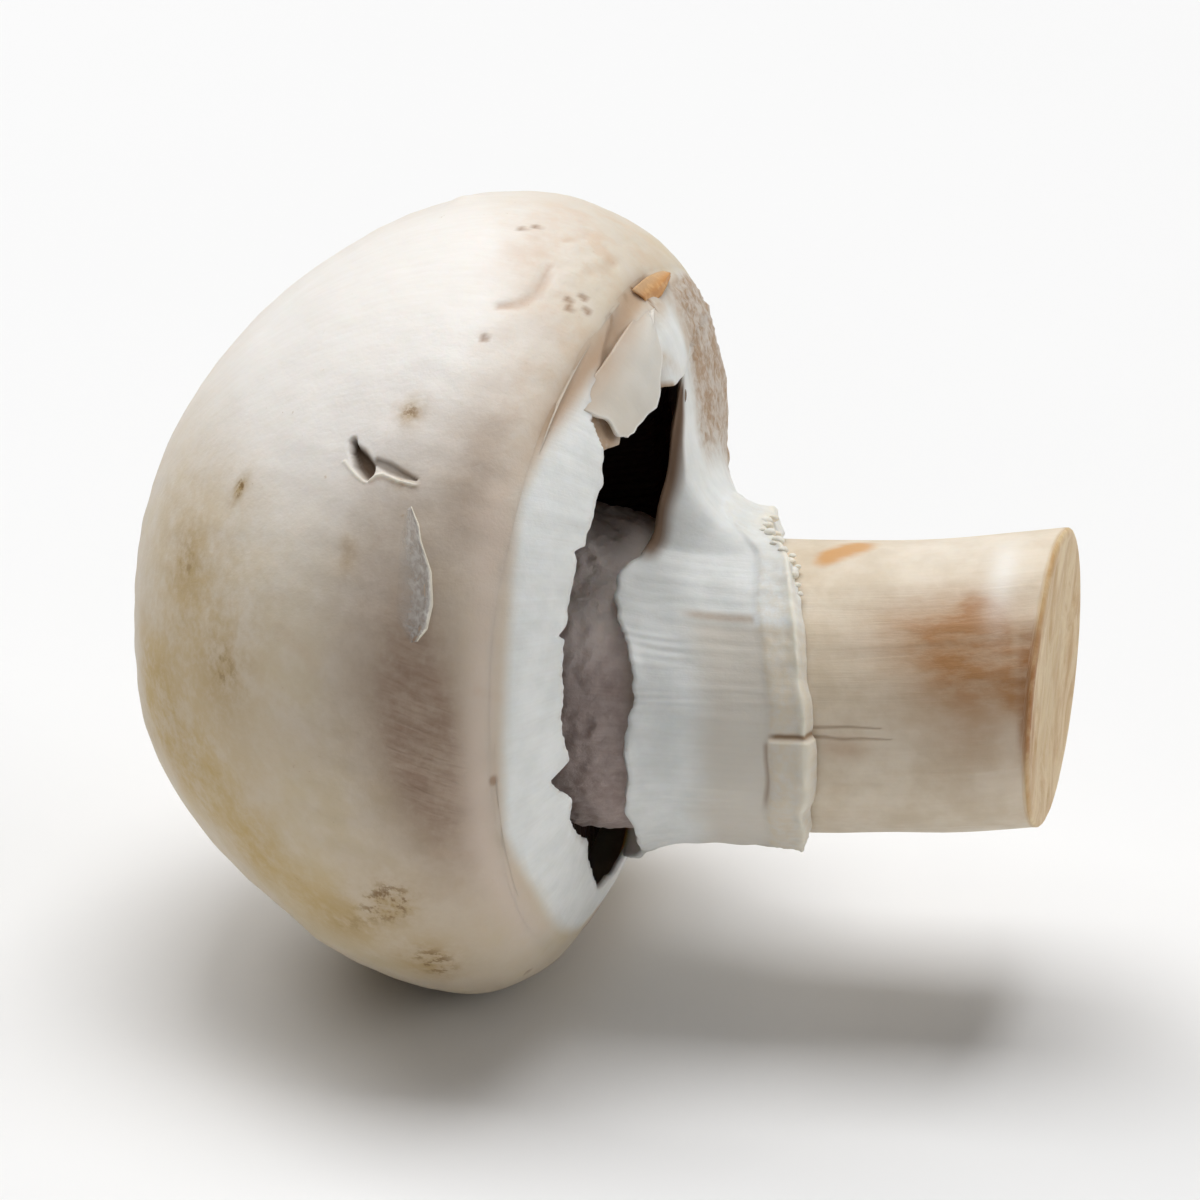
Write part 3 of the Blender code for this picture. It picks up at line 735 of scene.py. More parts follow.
def sleeve_relief(chart, grid):
    """Pleats along the stem where the skirt was stretched, a groove and a rolled rim at the ring, and the
    step where the ring is split."""
    share = np.broadcast_to(SLEEVE_SHARES, chart.along.shape)
    theta, loose = chart.theta, 1 - tear(chart.theta)
    below_line = smooth(-chart.aside(LINE), 0, 0.6)
    past_split = -chart.aside(SPLIT)

    wander = 0.55 * chart.grained((1, 0.25), 4.0, 41)
    strength = np.clip(0.45 + 0.6 * chart.grained((1, 0.4), 2.0, 42), 0, 1.2)
    pleats = np.cos(2 * pi * (SLEEVE_GRAIN * theta / PLEAT_SPACING + wander)) * strength
    front = facing(theta, -84, 0.88, 0.97) * (1 - 0.9 * smooth(share, 0.2, 0.45))
    height = 0.03 * pleats * loose * (0.08 + 0.92 * front) * (1 - smooth(share, 0.66, 0.74))
    height += 0.04 * ripple(grid, 2.4, 43) + 0.012 * chart.grained((1, 0.15), 0.7, 44)

    torn_edge = 1 - smooth(share, 0.0, 0.08)
    height += loose * (0.08 + 0.12 * ripple(grid, 2.4, 45)) * torn_edge
    height -= 0.07 * smooth(share, 0.30, 0.48) * loose * below_line
    height -= 0.04 * bell(share - RING_TOP, 0.012)
    height += 0.09 * bell(share - 0.952, 0.016) * (1 + 0.4 * ripple(grid, 1.4, 46))
    height += 0.03 * chart.grained((1, 2.5), 1.6, 47) * smooth(share, 0.76, 0.8)
    height += scales(chart, 48) * tear(theta) * scaly_share(share) * smooth(share, 0, 0.06)

    over = smooth(past_split, 0, 0.15) * lower_part_over(past_split) * in_ring(share)
    return height + 0.22 * over - 0.12 * bell(past_split + 0.12, 0.12) * smooth(share, 0.72, 0.8)


def add_veil(laying, material):
    """The skirt as one sheet in two bands, the border on the cap and the skirt on the stem, that share their
    points where the veil is whole. Solidify gives it its thickness, inwards."""
    theta = around(VEIL_COLUMNS)
    whole = tear(theta)
    seam = ridge(theta) - radians(SEAM_TUCK)
    border = edge(theta, seam + (torn_dip(theta) - seam) * BORDER_SHARES)
    border_chart = Chart(theta, border, CAP_RADIUS, distance_to(theta, seam))
    fallen = sleeve(theta, SLEEVE_SHARES)
    skirt = fallen + (standing(theta[None, :], SLEEVE_SHARES) - fallen) * whole[:, None]
    skirt_chart = Chart(theta, skirt, SLEEVE_GRAIN)
    points = np.concatenate([
        raised(border, border_relief(border_chart, border)), raised(skirt, sleeve_relief(skirt_chart, skirt)),
    ])
    numbers = numbered(points)
    upper, lower = numbers[: len(border)], numbers[len(border):].copy()
    lower[0] = np.where(whole > 0.999, upper[-1], lower[0])
    fields = veil_fields(border_chart, skirt_chart, whole)
    faces = [quads(upper), quads(lower)]
    piece = add_piece("veil_skirt", laid(points, laying), faces, material, "veil", fields)
    thicken(piece, VEIL_THICKNESS)


def veil_fields(border, skirt, whole):
    """The veil's marks, from the charts of its two bands."""
    theta, torn = skirt.theta, 1 - whole
    share = np.broadcast_to(SLEEVE_SHARES, skirt.along.shape)
    past_split, from_line = -skirt.aside(SPLIT), skirt.aside(LINE)
    end = smooth(from_skin_end(border), -0.4, 0.7)
    below_line = smooth(-from_line, 0.0, 0.5) * facing(theta, LINE - 90, -0.1, 0.1)
    near_front = smooth(-skirt.aside(-35), 0.0, 6.0) * facing(theta, -105, 0.1, 0.4)
    closing_end = smooth(np.cos(theta - TEAR_END + END_CLOSING / 2), 0.94, 0.98)
    split = bell(past_split + 0.08, 0.11) * smooth(share, 0.74, 0.8)
    outline = smooth(past_split, 0.1, 0.4) * lower_part_over(past_split) * bell(share - 0.752, 0.012)
    line = bell(from_line, 0.2) * smooth(share, 0.30, 0.45) * (share < RING_TOP)
    bands = {  # each on the border and on the skirt
        "skin_colour": (1 - end, 0),
        "torn_edge": (smooth(BORDER_SHARES, 0.93, 1.0) * torn, (1 - smooth(skirt.along, 0.0, 0.3)) * torn),
        "ring": (0, in_ring(share) * (0.25 + 0.75 * near_front)),
        "roll": (0, bell(share - 0.955, 0.02)),
        "crease": (border.lines(CRACKS, 0.1, 0.8), np.clip(split + 0.7 * outline + 0.3 * line, 0, 1)),
        # Tan: painted shade in the border's folds, and on the skirt the brown line's own colour.
        "tan": (border.spread(TANS), 0.5 * line),
        # Under and beside the torn flap: the torn inner layer's own tan, darkened as painted shade under the
        # flap.
        "wedge": (flap_hollow(border), 0),
        "scales": (margin_mask(border.theta) * end, margin_mask(theta) * scaly_share(share) * whole),
        "lower_part": (0, smooth(share, 0.26, 0.5) * below_line),
        # Dark brown on the standing veil's inner face where the tear closes: spore dust and painted shade.
        "spore_dust_and_shade": (0, (1 - smooth(skirt.along, 0.3, 1.3)) * closing_end * (1 - smooth(whole, 0.9, 1.0))),
    } | {name: (values, 0) for name, values in skin_fields(border).items()}
    shapes = border.along.shape, skirt.along.shape
    return {"grain": np.concatenate([border.grain, skirt.grain])} | {
        name: np.concatenate([np.broadcast_to(values, shape) for values, shape in zip(pair, shapes)])
        for name, pair in bands.items()
    }


# --- Scraps ---

# Routes are places on the cap, given as theta and dip in degrees.
FLAP_TOP = (
    (-57, 45), (-53.5, 47), (-50, 49), (-46.5, 51), (-43, 52.4), (-39, 53.4), (-35, 54.4), (-30, 55.6),
    (-25.5, 57.2),
)
FLAP_FOOT = (
    (-56, 70.6), (-53.5, 73.2), (-50.5, 75.2), (-46.5, 77.2), (-42.5, 79.2), (-39.8, 76.8), (-36.8, 73.3),
    (-31.6, 66.4), (-26.2, 60.4),
)
FILM_ROOT = ((-97, -0.5), (-94, -3.2), (-90, -3.9), (-86, -3.7), (-82, -3.4), (-77.8, -2.4))
FILM_EDGE = ((-96.8, 2.4), (-95, 5.9), (-91.5, 7.4), (-87, 6), (-82.5, 1.4), (-77.4, -1.6))
FLAKE_ROOT = ((-26.5, 49.6), (-20, 51.2), (-11, 53.8))
FLAKE_EDGE = ((-24.6, 57), (-20, 58.6), (-12.2, 56.4))
CRUMBS = (  # crumbs of veil on the ring: theta, share of the sleeve, size
    (-17, 0.94, 0.2), (-20.5, 0.9, 0.26), (-23.5, 0.93, 0.22), (-25, 0.98, 0.26), (-28.5, 0.92, 0.28),
    (-30, 0.99, 0.22), (-32.5, 0.95, 0.26), (-35.5, 1, 0.24), (-37.5, 0.95, 0.2), (-40.5, 1, 0.22),
    (-44, 0.99, 0.22), (-48, 1, 0.17), (-27, 0.87, 0.16), (-34.5, 0.9, 0.17), (-22.5, 1.01, 0.15),
    (-38.5, 1.04, 0.15), (-31.5, 1.06, 0.14), (-52, 1.01, 0.14),
)
FLAP_THICKNESS, FILM_THICKNESS, FLAKE_THICKNESS = 0.2, 0.05, 0.12
PAST_RIM = 7.3  # how far down the stem a crumb lies for each unit of its share past 1


def patch(first, second, rows, columns):
    """A grid of theta and dip between two routes, with the shares run down its rows and along its columns."""
    along, down = np.linspace(0, 1, columns)[None, :], np.linspace(0, 1, rows)[:, None]
    edges = [
        [np.interp(along, np.linspace(0, 1, len(route)), values) for values in np.radians(route).T]
        for route in (first, second)
    ]
    theta, dip = (start + (end - start) * down for start, end in zip(*edges))
    return theta, dip, down + 0 * along, along + 0 * down


def flat(x, y):
    """Coordinates for a pattern that lies flat on a scrap."""
    x, y = np.broadcast_arrays(x, y)
    return np.stack([x, y, 0 * x], -1)


def add_sheet(name, grid, laying, material, thickness, fields):
    """A small thin sheet that lies on the mushroom."""
    faces = [quads(numbered(grid), closed=False)]
    thicken(add_piece(name, laid(grid, laying), faces, material, fields=fields), thickness)


def add_flap(laying, material):
    """The torn flap at the tear's upper end. It leaves the fold beside the skin and stands over the sunk
    border, and its free edge curls in a little."""
    theta, dip, down, along = patch(FLAP_TOP, FLAP_FOOT, 40, 70)
    dip = dip + radians(0.9) * ripple(flat(7 * along, 0), 1.3, 84) * smooth(down, 0.4, 1)
    theta = theta + radians(0.8) * ripple(flat(0, 4 * down), 1.6, 85) * smooth(down, 0.1, 0.5)
    plain = edge(theta, dip)
    height = broad(plain) - 0.55 * VALLEY_DEPTH * (1 - smooth(down, 0.0, 0.22))
    lift = 0.16 * smooth(down, 0.05, 0.5) + 0.20 * smooth(along, 0.35, 0.8) * smooth(down, 0.1, 0.6)
    height += lift * (1 - 0.8 * smooth(along, 0.84, 1.0))
    height += 0.035 * ripple(plain, 2.2, 81) * smooth(down, 0.1, 0.4) - 0.07 * smooth(down, 0.85, 1.0)
    foot = smooth(down, 0.94, 1.0) * (1 - smooth(along, 0.85, 1.0))
    left_side = 0.35 - 0.35 * smooth(along, 0.0, 0.05)
    fields = {
        "grain": ring(CAP_RADIUS, theta, 6 * down),
        # Rim: a painted highlight along the flap's free edges.
        "rim": np.maximum(foot, left_side) * smooth(down, 0.1, 0.3),
        # Tan painted shade where the flap leaves the valley's fold.
        "valley": bell(down, 0.28),
        # The flap's cream tint, deeper on its left side as painted shade.
        "lower_part": 0.9 + 0.4 * (1 - smooth(along, 0.1, 0.6)),
    }
    grid = edge(theta, dip, -height)
    add_sheet("torn_flap", grid, laying, material, FLAP_THICKNESS, fields)


def add_film(skin, laying, material):
    """A film of skin peeled off along one side, which stands up and curls."""
    theta, dip, down, along = patch(FILM_ROOT, FILM_EDGE, 24, 60)
    rise = 0.02 * smooth(down, 0, 0.2) + 0.26 * smooth(down, 0.72, 1.0) * (0.35 + 0.65 * np.sin(pi * along))
    rise += 0.015 * ripple(flat(4 * down, 9 * along), 1.4, 82) * smooth(down, 0.1, 0.3)
    ends = 1 - smooth(np.abs(along - 0.5), 0.42, 0.5)
    grid = skin.at(theta, dip, rise * (0.3 + 0.7 * ends) - 0.03 * (1 - smooth(down, 0, 0.15)))
    fields = {
        "grain": flat(3 * down, 9 * along),
        "lifted": smooth(down, 0.84 - 0.34 * (1 - smooth(along, 0.03, 0.16)), 1.0),
        "cover": smooth(down, 0.0, 0.45) * 0.62 + smooth(down, 0.84, 0.95) * 0.9,
    }
    add_sheet("peeled_film", grid, laying, material, FILM_THICKNESS, fields)


def add_flake(laying, material):
    """A curled orange flake of skin above the flaps."""
    theta, dip, down, along = patch(FLAKE_ROOT, FLAKE_EDGE, 14, 30)
    lift = 0.05 + 0.5 * down * smooth(along, 0.1, 0.8) - 0.25 * smooth(down, 0.6, 1.0)
    grid = edge(theta, dip, -lift - broad(edge(theta, dip)))
    fields = {"grain": flat(3 * along, 2 * down), "orange": 0.3 + 0.7 * smooth(down, 0.1, 0.7)}
    add_sheet("orange_flake", grid, laying, material, FLAKE_THICKNESS, fields)


def add_crumbs(laying, material):
    """Crumbs of veil along the ring's torn upper end: small lumpy balls, each half sunk in the sleeve."""
    polar = np.linspace(0.2, pi - 0.2, 12)[:, None]
    ball = ring(np.sin(polar), np.linspace(0, 2 * pi, 18, endpoint=False), np.cos(polar))
    points, faces = [], []
    for number, (theta, share, size) in enumerate(CRUMBS):
        centre = sleeve(np.radians([theta]), min(share, 1.0))[0] + (0, 0, -PAST_RIM * max(share - 1, 0))
        outward = np.array([cos(radians(theta)), sin(radians(theta)), 0])
        lumpy = 1 + 0.13 * ripple(ball + number, 1.8, 83 + number)
        rows = ball * size * lumpy[..., None] * (1, 1, 1.4) + centre + outward * size * 0.05
        crumb, crumb_faces = closed_body(rows, sum(map(len, points)))
        points.append(crumb)
        faces += crumb_faces
    points = np.concatenate(points)
    fields = {"grain": points, "ring": np.full(len(points), 1.0), "roll": np.full(len(points), 0.5)}
    add_piece("ring_crumbs", laid(points, laying), faces, material, fields=fields)


# --- Stem ---

STEM_COLUMNS = 440
STEM_LEVELS = np.concatenate([np.linspace(10.0, -4.5, 18)[:-1], np.linspace(-4.5, CUT_HEIGHT + 0.45, 138)])
FACE_SHARES = np.linspace(0, 1, 34)[1:-1]
CUT_BEVEL = 0.35
WOOL = (0.07, 1.3, 53), (0.03, 0.6, 54)  # of the surface inside the veil: height, wavelength and seed
FACE_GRAIN = 40  # where the cut face's pattern starts, clear of the side's

# A place on the stem is given as theta in degrees and the distance below the cap's widest section.
CREASES = (  # thin creases of the skin, with half widths
    ((-109.8, 18.6, 0.08), (-110.6, 19.6, 0.1), (-110.2, 20.4, 0.09), (-111.2, 21.4, 0.08),
     (-110.8, 22.6, 0.06), (-111.4, 24.2, 0.03)),
    ((-105.8, 18.8, 0.05), (-106.4, 20, 0.08), (-106, 21.8, 0.07), (-106.8, 23.6, 0.03)),
)
STAINS = (  # brown patches: theta, distance, length, width, lean, strength
    (-74, 27.6, 3.8, 2.6, 0, 0.5), (-66, 25.8, 3.2, 1.5, 0, 0.38), (-68, 29.2, 1.3, 1.6, 0, 0.5),
    (-84, 29, 3, 3.4, 0, 0.35), (-104, 29, 3.6, 3.6, 0, 0.25), (-114.5, 21.6, 1.3, 0.5, 0, 0.45),
    (90, 24, 3, 3, 0, 0.5),
)
WHITES = ((-42, 30.2, 0.9, 2.6, 0, 0.9), (-22, 27, 5, 2.4, 0, 0.4))
ORANGES = ((-28.5, 20, 1.1, 0.8, 38, 0.7), (-19, 21.4, 1.5, 1.2, 30, 1), (150, 27, 1.5, 0.9, 0, 0.5))
STAIN_ARC = ((-56, 28.6, 0.6), (-63, 29.6, 0.9), (-76, 30.4, 1), (-98, 31.2, 0.7))


def cut_plane(points):
    """Moves rows at the cut's height on to the oblique plane of the cut."""
    x, y = stem_centre(np.array(CUT_HEIGHT))
    slope_x, slope_y = -CUT_NORMAL[0] / CUT_NORMAL[2], -CUT_NORMAL[1] / CUT_NORMAL[2]
    points[..., 2] += slope_x * (points[..., 0] - x) + slope_y * (points[..., 1] - y)
    return points


def stem_relief(chart, grid):
    """Long fibres, shallow grooves and dents on the side, with a woolly surface inside the veil."""
    inside = smooth(grid[..., 2], -9.5, -7.5)
    along = 0.008 * chart.grained((1, 0.08), 0.7, 51) + 0.025 * chart.grained((1, 0.06), 2.6, 52)
    dents = 0.05 * ripple(grid, 7.0, 55)
    height = along * (1 - 0.6 * inside) + dents + unevenness(grid, WOOL) * inside
    return height - 0.06 * np.max([chart.stroke(route) for route in CREASES], axis=0)


def add_stem(theta, side, laying, material):
    """The stem as one closed mesh: side, a small bevel, and the cut face in rings towards the middle."""
    chart = Chart(theta, side, STEM_GRAIN, -STEM_LEVELS[0])
    grid = raised(side, stem_relief(chart, side))
    foot = grid[-1]
    centre = np.array([*stem_centre(np.array(CUT_HEIGHT)), CUT_HEIGHT])
    lowered = cut_plane(foot * (1, 1, 0) + (0, 0, CUT_HEIGHT))
    rim = lowered + (centre - lowered) * (1, 1, 0) * (CUT_BEVEL / STEM_RADIUS)
    bevel = [foot + (lowered - foot) * 0.6, foot * 0.1 + lowered * 0.6 + rim * 0.3]
    face = rim + (centre - rim) * FACE_SHARES[:, None, None]
    streak = 0.05 * ripple(face * (0.3, 1, 0), 2.2, 61) + 0.015 * ripple(face * (0.4, 1, 0), 0.6, 62)
    dish = 0.22 * smooth(FACE_SHARES, 0, 0.5)[:, None]
    face[..., 2] += streak * smooth(FACE_SHARES, 0, 0.08)[:, None] + dish
    rows = np.concatenate([grid, bevel, rim[None], face])
    points, faces = closed_body(rows)
    cut_rows = len(rows) - len(grid)

    def whole(values, at_cut=0.0):
        return with_tips(np.concatenate([values, np.broadcast_to(at_cut, (cut_rows, len(theta)))]))

    level, zeros = grid[..., 2], np.zeros_like(chart.along)
    depth = np.concatenate([np.zeros(cut_rows - len(face)), FACE_SHARES])[:, None]
    stained_rim = facing(theta, -98, 0.80, 0.97)
    spot = bell(np.degrees(theta) + 118, 13) * bell(depth - 0.1, 0.09)
    cut_stain = np.maximum((1 - smooth(depth, 0.0, 0.03)) * stained_rim, 0.7 * spot)
    grain = np.concatenate([chart.grain, rows[len(grid):] * (1, 1, 0) + (0, 0, FACE_GRAIN)])
    fields = {
        "grain": with_tips(grain, [(0, 0, 0), (*centre[:2], FACE_GRAIN)]),
        "cut": whole(zeros, 1.0),
        "cut_depth": whole(zeros, depth),
        "cut_rim": whole(smooth(-level, 30.4, 31.1) * stained_rim, cut_stain),
        "stain": whole(np.clip(chart.spread(STAINS) + 0.5 * chart.stroke(STAIN_ARC), 0, 1)),
        "orange": whole(chart.spread(ORANGES)),
        "white": whole(chart.spread(WHITES)),
        "crease": whole(chart.lines(CREASES, 0.1, 0.9)),
        "inside": whole(smooth(level, -10.5, -8.5)),
        # Painted light and shade inside the veil: 1 on the upper side, which is painted lighter, 0 on the
        # rest, which is painted darker.
        "painted_light_inside": whole(facing(chart.theta, -50, 0.70, 0.95)),
    }
    add_piece("stem_and_cut", laid(points, laying), faces, material, "stem", fields)


# --- Gills ---


def add_gills(laying, material):
    """A thin plate under the flesh from which the gills stand out as blades. Each takes four columns of
    points, root, tip, tip and root; on the tip columns the surface drops to the gills' level."""
    count = 2 * LONG_GILLS
    blade = np.repeat(np.arange(count), 4)
    middle = (np.arange(count) * 2 * pi / count)[blade]
    short = blade % 2 == 1
    side = np.tile([-1, -1, 1, 1], count)
    tip = np.tile([False, True, True, False], count)
    climbs = np.radians(np.linspace(6, 83, 26))[:, None]
    reach = np.random.default_rng(71).uniform(-9, 9, count)[blade]
    wobble = 0.006 * np.sin(climbs * 5 + np.random.default_rng(72).uniform(0, 2 * pi, count)[blade])

    def rows(climb, shrink, blades):
        theta = np.broadcast_to(middle + wobble[: len(climb)], (len(climb), len(middle)))
        spread = theta
        for _ in range(2):  # the half thickness is a length, so its angle depends on the radius found
            points = flesh(spread, np.broadcast_to(climb, spread.shape), shrink)
            radius = np.hypot(points[..., 0], points[..., 1])
            spread = theta + side * np.where(tip, GILL_TIP, GILL_ROOT) / 2 / radius
        points = flesh(spread, np.broadcast_to(climb, spread.shape), shrink)
        if blades:
            level = GILL_LEVEL - GILL_TILT * points[..., 0] + 0.12 * ripple(points, 4.0, 73)
            turn = np.degrees(climb)
            share = smooth(turn, 4, 26) * (1 - 0.92 * smooth(turn, 66, 83))
            fade = np.where(short, 1 - smooth(turn - reach, 34, 52), 1.0)
            drop = np.maximum(points[..., 2] - level, 0) * share * fade
            points[..., 2] -= np.where(tip, np.maximum(drop, 0.05), 0.0)
        return points

    back = rows(climbs[[-1, 12, 0]], GAP * 1.3, False)
    front = rows(climbs, GAP * 1.3 + GILL_PLATE, True)
    points = np.concatenate([back, front])
    numbers = numbered(points)
    closed = np.concatenate([numbers, numbers[:1]])
    tips = np.broadcast_to(tip * 1.0, front.shape[:2])
    fields = {"depth": np.concatenate([np.zeros(back.shape[:2]), tips])}
    add_piece("gill_blades", laid(points, laying), [quads(closed)], material, "gills", fields)


# --- Materials ---

# Stretch of the wrinkles' pattern, and what is added to it for each millimetre along, so that they slant.
WRINKLE_LEAN = (1.0, 1.0, 0.16), (0.44, -0.15, 0.0)
SUBSURFACE_RADIUS = (1.0, 0.75, 0.55)
SPECULAR = 0.35
# Tan painted along the valley as the shade of its fold.
VALLEY_SHADE_TAN = (190, 160, 132)


class Value:
    """A socket of a material. Arithmetic on it adds Math nodes."""

    def __init__(self, paint, socket):
        self.paint, self.socket = paint, socket

    def math(self, operation, *values, clamp=False):
        settings = {"operation": operation, "use_clamp": clamp}
        return self.paint.node("ShaderNodeMath", settings, dict(enumerate(values)))

    def __add__(self, other):
        return self.math("ADD", self, other)

    def __sub__(self, other):
        return self.math("SUBTRACT", self, other)

    def __rsub__(self, other):
        return self.math("SUBTRACT", other, self)

    def __mul__(self, other):
        return self.math("MULTIPLY", self, other)

    def clamped(self):
        return self.math("MULTIPLY", self, 1.0, clamp=True)

    def step(self, low, high):
        """0 below low, 1 above high, and an S-curve between."""
        inputs = {"Value": self, "From Min": low, "From Max": high}
        return self.paint.node("ShaderNodeMapRange", {"interpolation_type": "SMOOTHSTEP"}, inputs)


class Paint:
    """One material under construction."""

    def __init__(self, name, roughness, subsurface=0.0, depth_mm=1.0):
        self.material = bpy.data.materials.new(name)
        self.material.use_nodes = True
        self.tree = self.material.node_tree
        self.shader = self.tree.nodes["Principled BSDF"]
        for socket, value in {
            "Roughness": roughness, "Specular IOR Level": SPECULAR, "Subsurface Weight": subsurface,
            "Subsurface Radius": SUBSURFACE_RADIUS, "Subsurface Scale": depth_mm * MM,
        }.items():
            self.shader.inputs[socket].default_value = value

    def node(self, kind, settings=None, inputs=None, output=0):
        """Adds a node: its settings first, then the values or links of its sockets."""
        node = self.tree.nodes.new(kind)
        for name, value in (settings or {}).items():
            setattr(node, name, value)
        for name, value in (inputs or {}).items():
            if isinstance(value, Value):
                self.tree.links.new(value.socket, node.inputs[name])
            else:
                node.inputs[name].default_value = value
        return Value(self, node.outputs[output])

    def vector_math(self, operation, inputs, output=0):
        return self.node("ShaderNodeVectorMath", {"operation": operation}, inputs, output)

    def place(self):
        """Object coordinates in millimetres."""
        coordinates = self.node("ShaderNodeTexCoord", output="Object")
        return self.vector_math("SCALE", {0: coordinates, "Scale": 1 / MM})

    def fields(self, *names):
        """Numbers kept at the mesh's points."""
        return [self.node("ShaderNodeAttribute", {"attribute_name": name}, output="Fac") for name in names]

    def grain(self, stretch, slant=None):
        """The coordinates that follow the surface, multiplied by stretch, with slant times the distance along
        added."""
        vector = self.node("ShaderNodeAttribute", {"attribute_name": "grain"}, output="Vector")
        product = self.vector_math("MULTIPLY", {0: vector, 1: stretch})
        if slant is None:
            return product
        along = self.vector_math("DOT_PRODUCT", {0: vector, 1: (0, 0, 1)}, output=1)
        return self.vector_math("ADD", {0: product, 1: self.vector_math("SCALE", {0: slant, "Scale": along})})

    def noise(self, vector, size, detail=3.0, roughness=0.55, distortion=0.0):
        """Noise between 0 and 1 whose lumps are about size millimetres."""
        return self.node("ShaderNodeTexNoise", None, {
            "Vector": vector, "Scale": 1 / size, "Detail": detail, "Roughness": roughness,
            "Distortion": distortion,
        })

    def fibres(self, size, stretch, distortion):
        """Noise drawn out so many times along the grain."""
        return self.noise(self.grain((1, 1, 1 / stretch)), size, 4.0, 0.6, distortion)

    def layers(self, colour, *layers):
        """A colour with others laid over it in turn, each where its factor goes from 0 to 1."""
        for factor, over in layers:
            inputs = {0: factor, 6: linear(colour), 7: linear(over)}
            colour = self.node("ShaderNodeMix", {"data_type": "RGBA"}, inputs, output=2)
        return colour

    def link(self, name, value):
        self.tree.links.new(value.socket, self.shader.inputs[name])

    def done(self, colour, height, roughness=None):
        """Ends the material with its colour, its fine relief in millimetres and its roughness."""
        bump = {"Height": height, "Distance": MM, "Strength": 1.0}
        self.link("Normal", self.node("ShaderNodeBump", None, bump))
        self.link("Base Color", colour)
        if roughness:
            self.link("Roughness", roughness)
        return self.material


def linear(colour):
    """A colour given as it looks, 0 to 255, in the linear values that shaders use. A socket stays itself."""
    if isinstance(colour, Value):
        return colour
    return tuple(((part / 255 + 0.055) / 1.055) ** 2.4 for part in colour) + (1.0,)


def skin_noises(paint):
    """The noises that the skin and the veil share: broad patches, middle, fine, and slanting wrinkles."""
    place = paint.place()
    patches, middle = paint.noise(place, 9.0, 2.0), paint.noise(place, 2.6, 4.0, 0.6)
    fine = paint.noise(place, 0.6, 4.0, 0.65)
    return patches, middle, fine, paint.noise(paint.grain(*WRINKLE_LEAN), 0.36, 1.5, 0.5, 0.5)


def skin_colour(paint, patches, middle, fine, wrinkle, fibre):
    """Matt white skin, yellowing in soft patches, tan painted shade in the valley and brown in the bruise and
    the pits.
    """
    bruise, ochre, pink, gold, pale = paint.fields("bruise", "ochre", "pink", "gold", "pale")
    end_band, crinkle, scratch, pit = paint.fields("end_band", "crinkle", "scratch", "pit")
    (valley_shade_mask,) = paint.fields("valley")
    dappled = (middle * 0.6 + fine * 0.4).step(0.34, 0.62)
    wrinkled = bruise.step(0.55, 1.0)
    return paint.layers(
        (212, 197, 174),
        (patches.step(0.35, 0.65), (222, 210, 193)),
        ((patches + middle * 0.6).step(0.68, 1.0) * 0.65, (208, 190, 150)),
        (pale, (246, 242, 237)),
        (gold * (dappled * 0.5 + 0.45), (196, 166, 104)),
        (ochre * (dappled * 0.9 + 0.2), (176, 144, 84)),
        (fine.step(0.50, 0.62) * ochre.step(0.35, 0.85) * 0.8, (122, 90, 48)),
        (pink * (dappled * 0.4 + 0.35), (208, 184, 166)),
        (bruise * (dappled * 0.25 + 0.66), (142, 113, 93)),
        (wrinkle.step(0.44, 0.62) * (wrinkled * 0.25 + 0.01), (190, 168, 150)),
        ((fibre - 0.5) * 0.25 + 0.06, (206, 190, 166)),
        ((fine + middle * 0.25).step(0.82, 0.88) * patches.step(0.4, 0.6) * 0.5, (172, 140, 100)),
        (end_band * (dappled * 0.15 + 0.6), (220, 203, 188)),
        (crinkle * middle.step(0.42, 0.66) * 0.45, (222, 190, 164)),
        (scratch * (middle * 0.6 + 0.15), (192, 156, 126)),
        (pit * 0.65, (146, 108, 76)),
        # Tan painted shade along the valley's fold.
        (valley_shade_mask * (middle * 0.5 + 0.4), VALLEY_SHADE_TAN),
    )


def skin_material():
    """Matt skin with a silky grain, wrinkled where it is bruised."""
    paint = Paint("cap_skin", 0.55, 0.3, 1.0)
    noises = _, _, fine, wrinkle = skin_noises(paint)
    fibre = paint.fibres(0.34, 9.0, 0.3)
    hollow, lip, underside, bruise, pink = paint.fields("hollow", "lip", "underside", "bruise", "pink")
    colour = paint.layers(
        skin_colour(paint, *noises, fibre),
        (lip * (1 - hollow) * 0.65, (246, 238, 222)),
        (hollow, (94, 72, 50)),
        (underside, (206, 190, 172)),
    )
    wrinkling = bruise.step(0.55, 1.0) * 0.06 + pink * 0.03 + 0.002
    height = (fibre - 0.5) * 0.007 + (fine - 0.5) * 0.045 + (wrinkle - 0.5) * wrinkling
    return paint.done(colour, height, fine.step(0.0, 1.0) * 0.14 + 0.48)


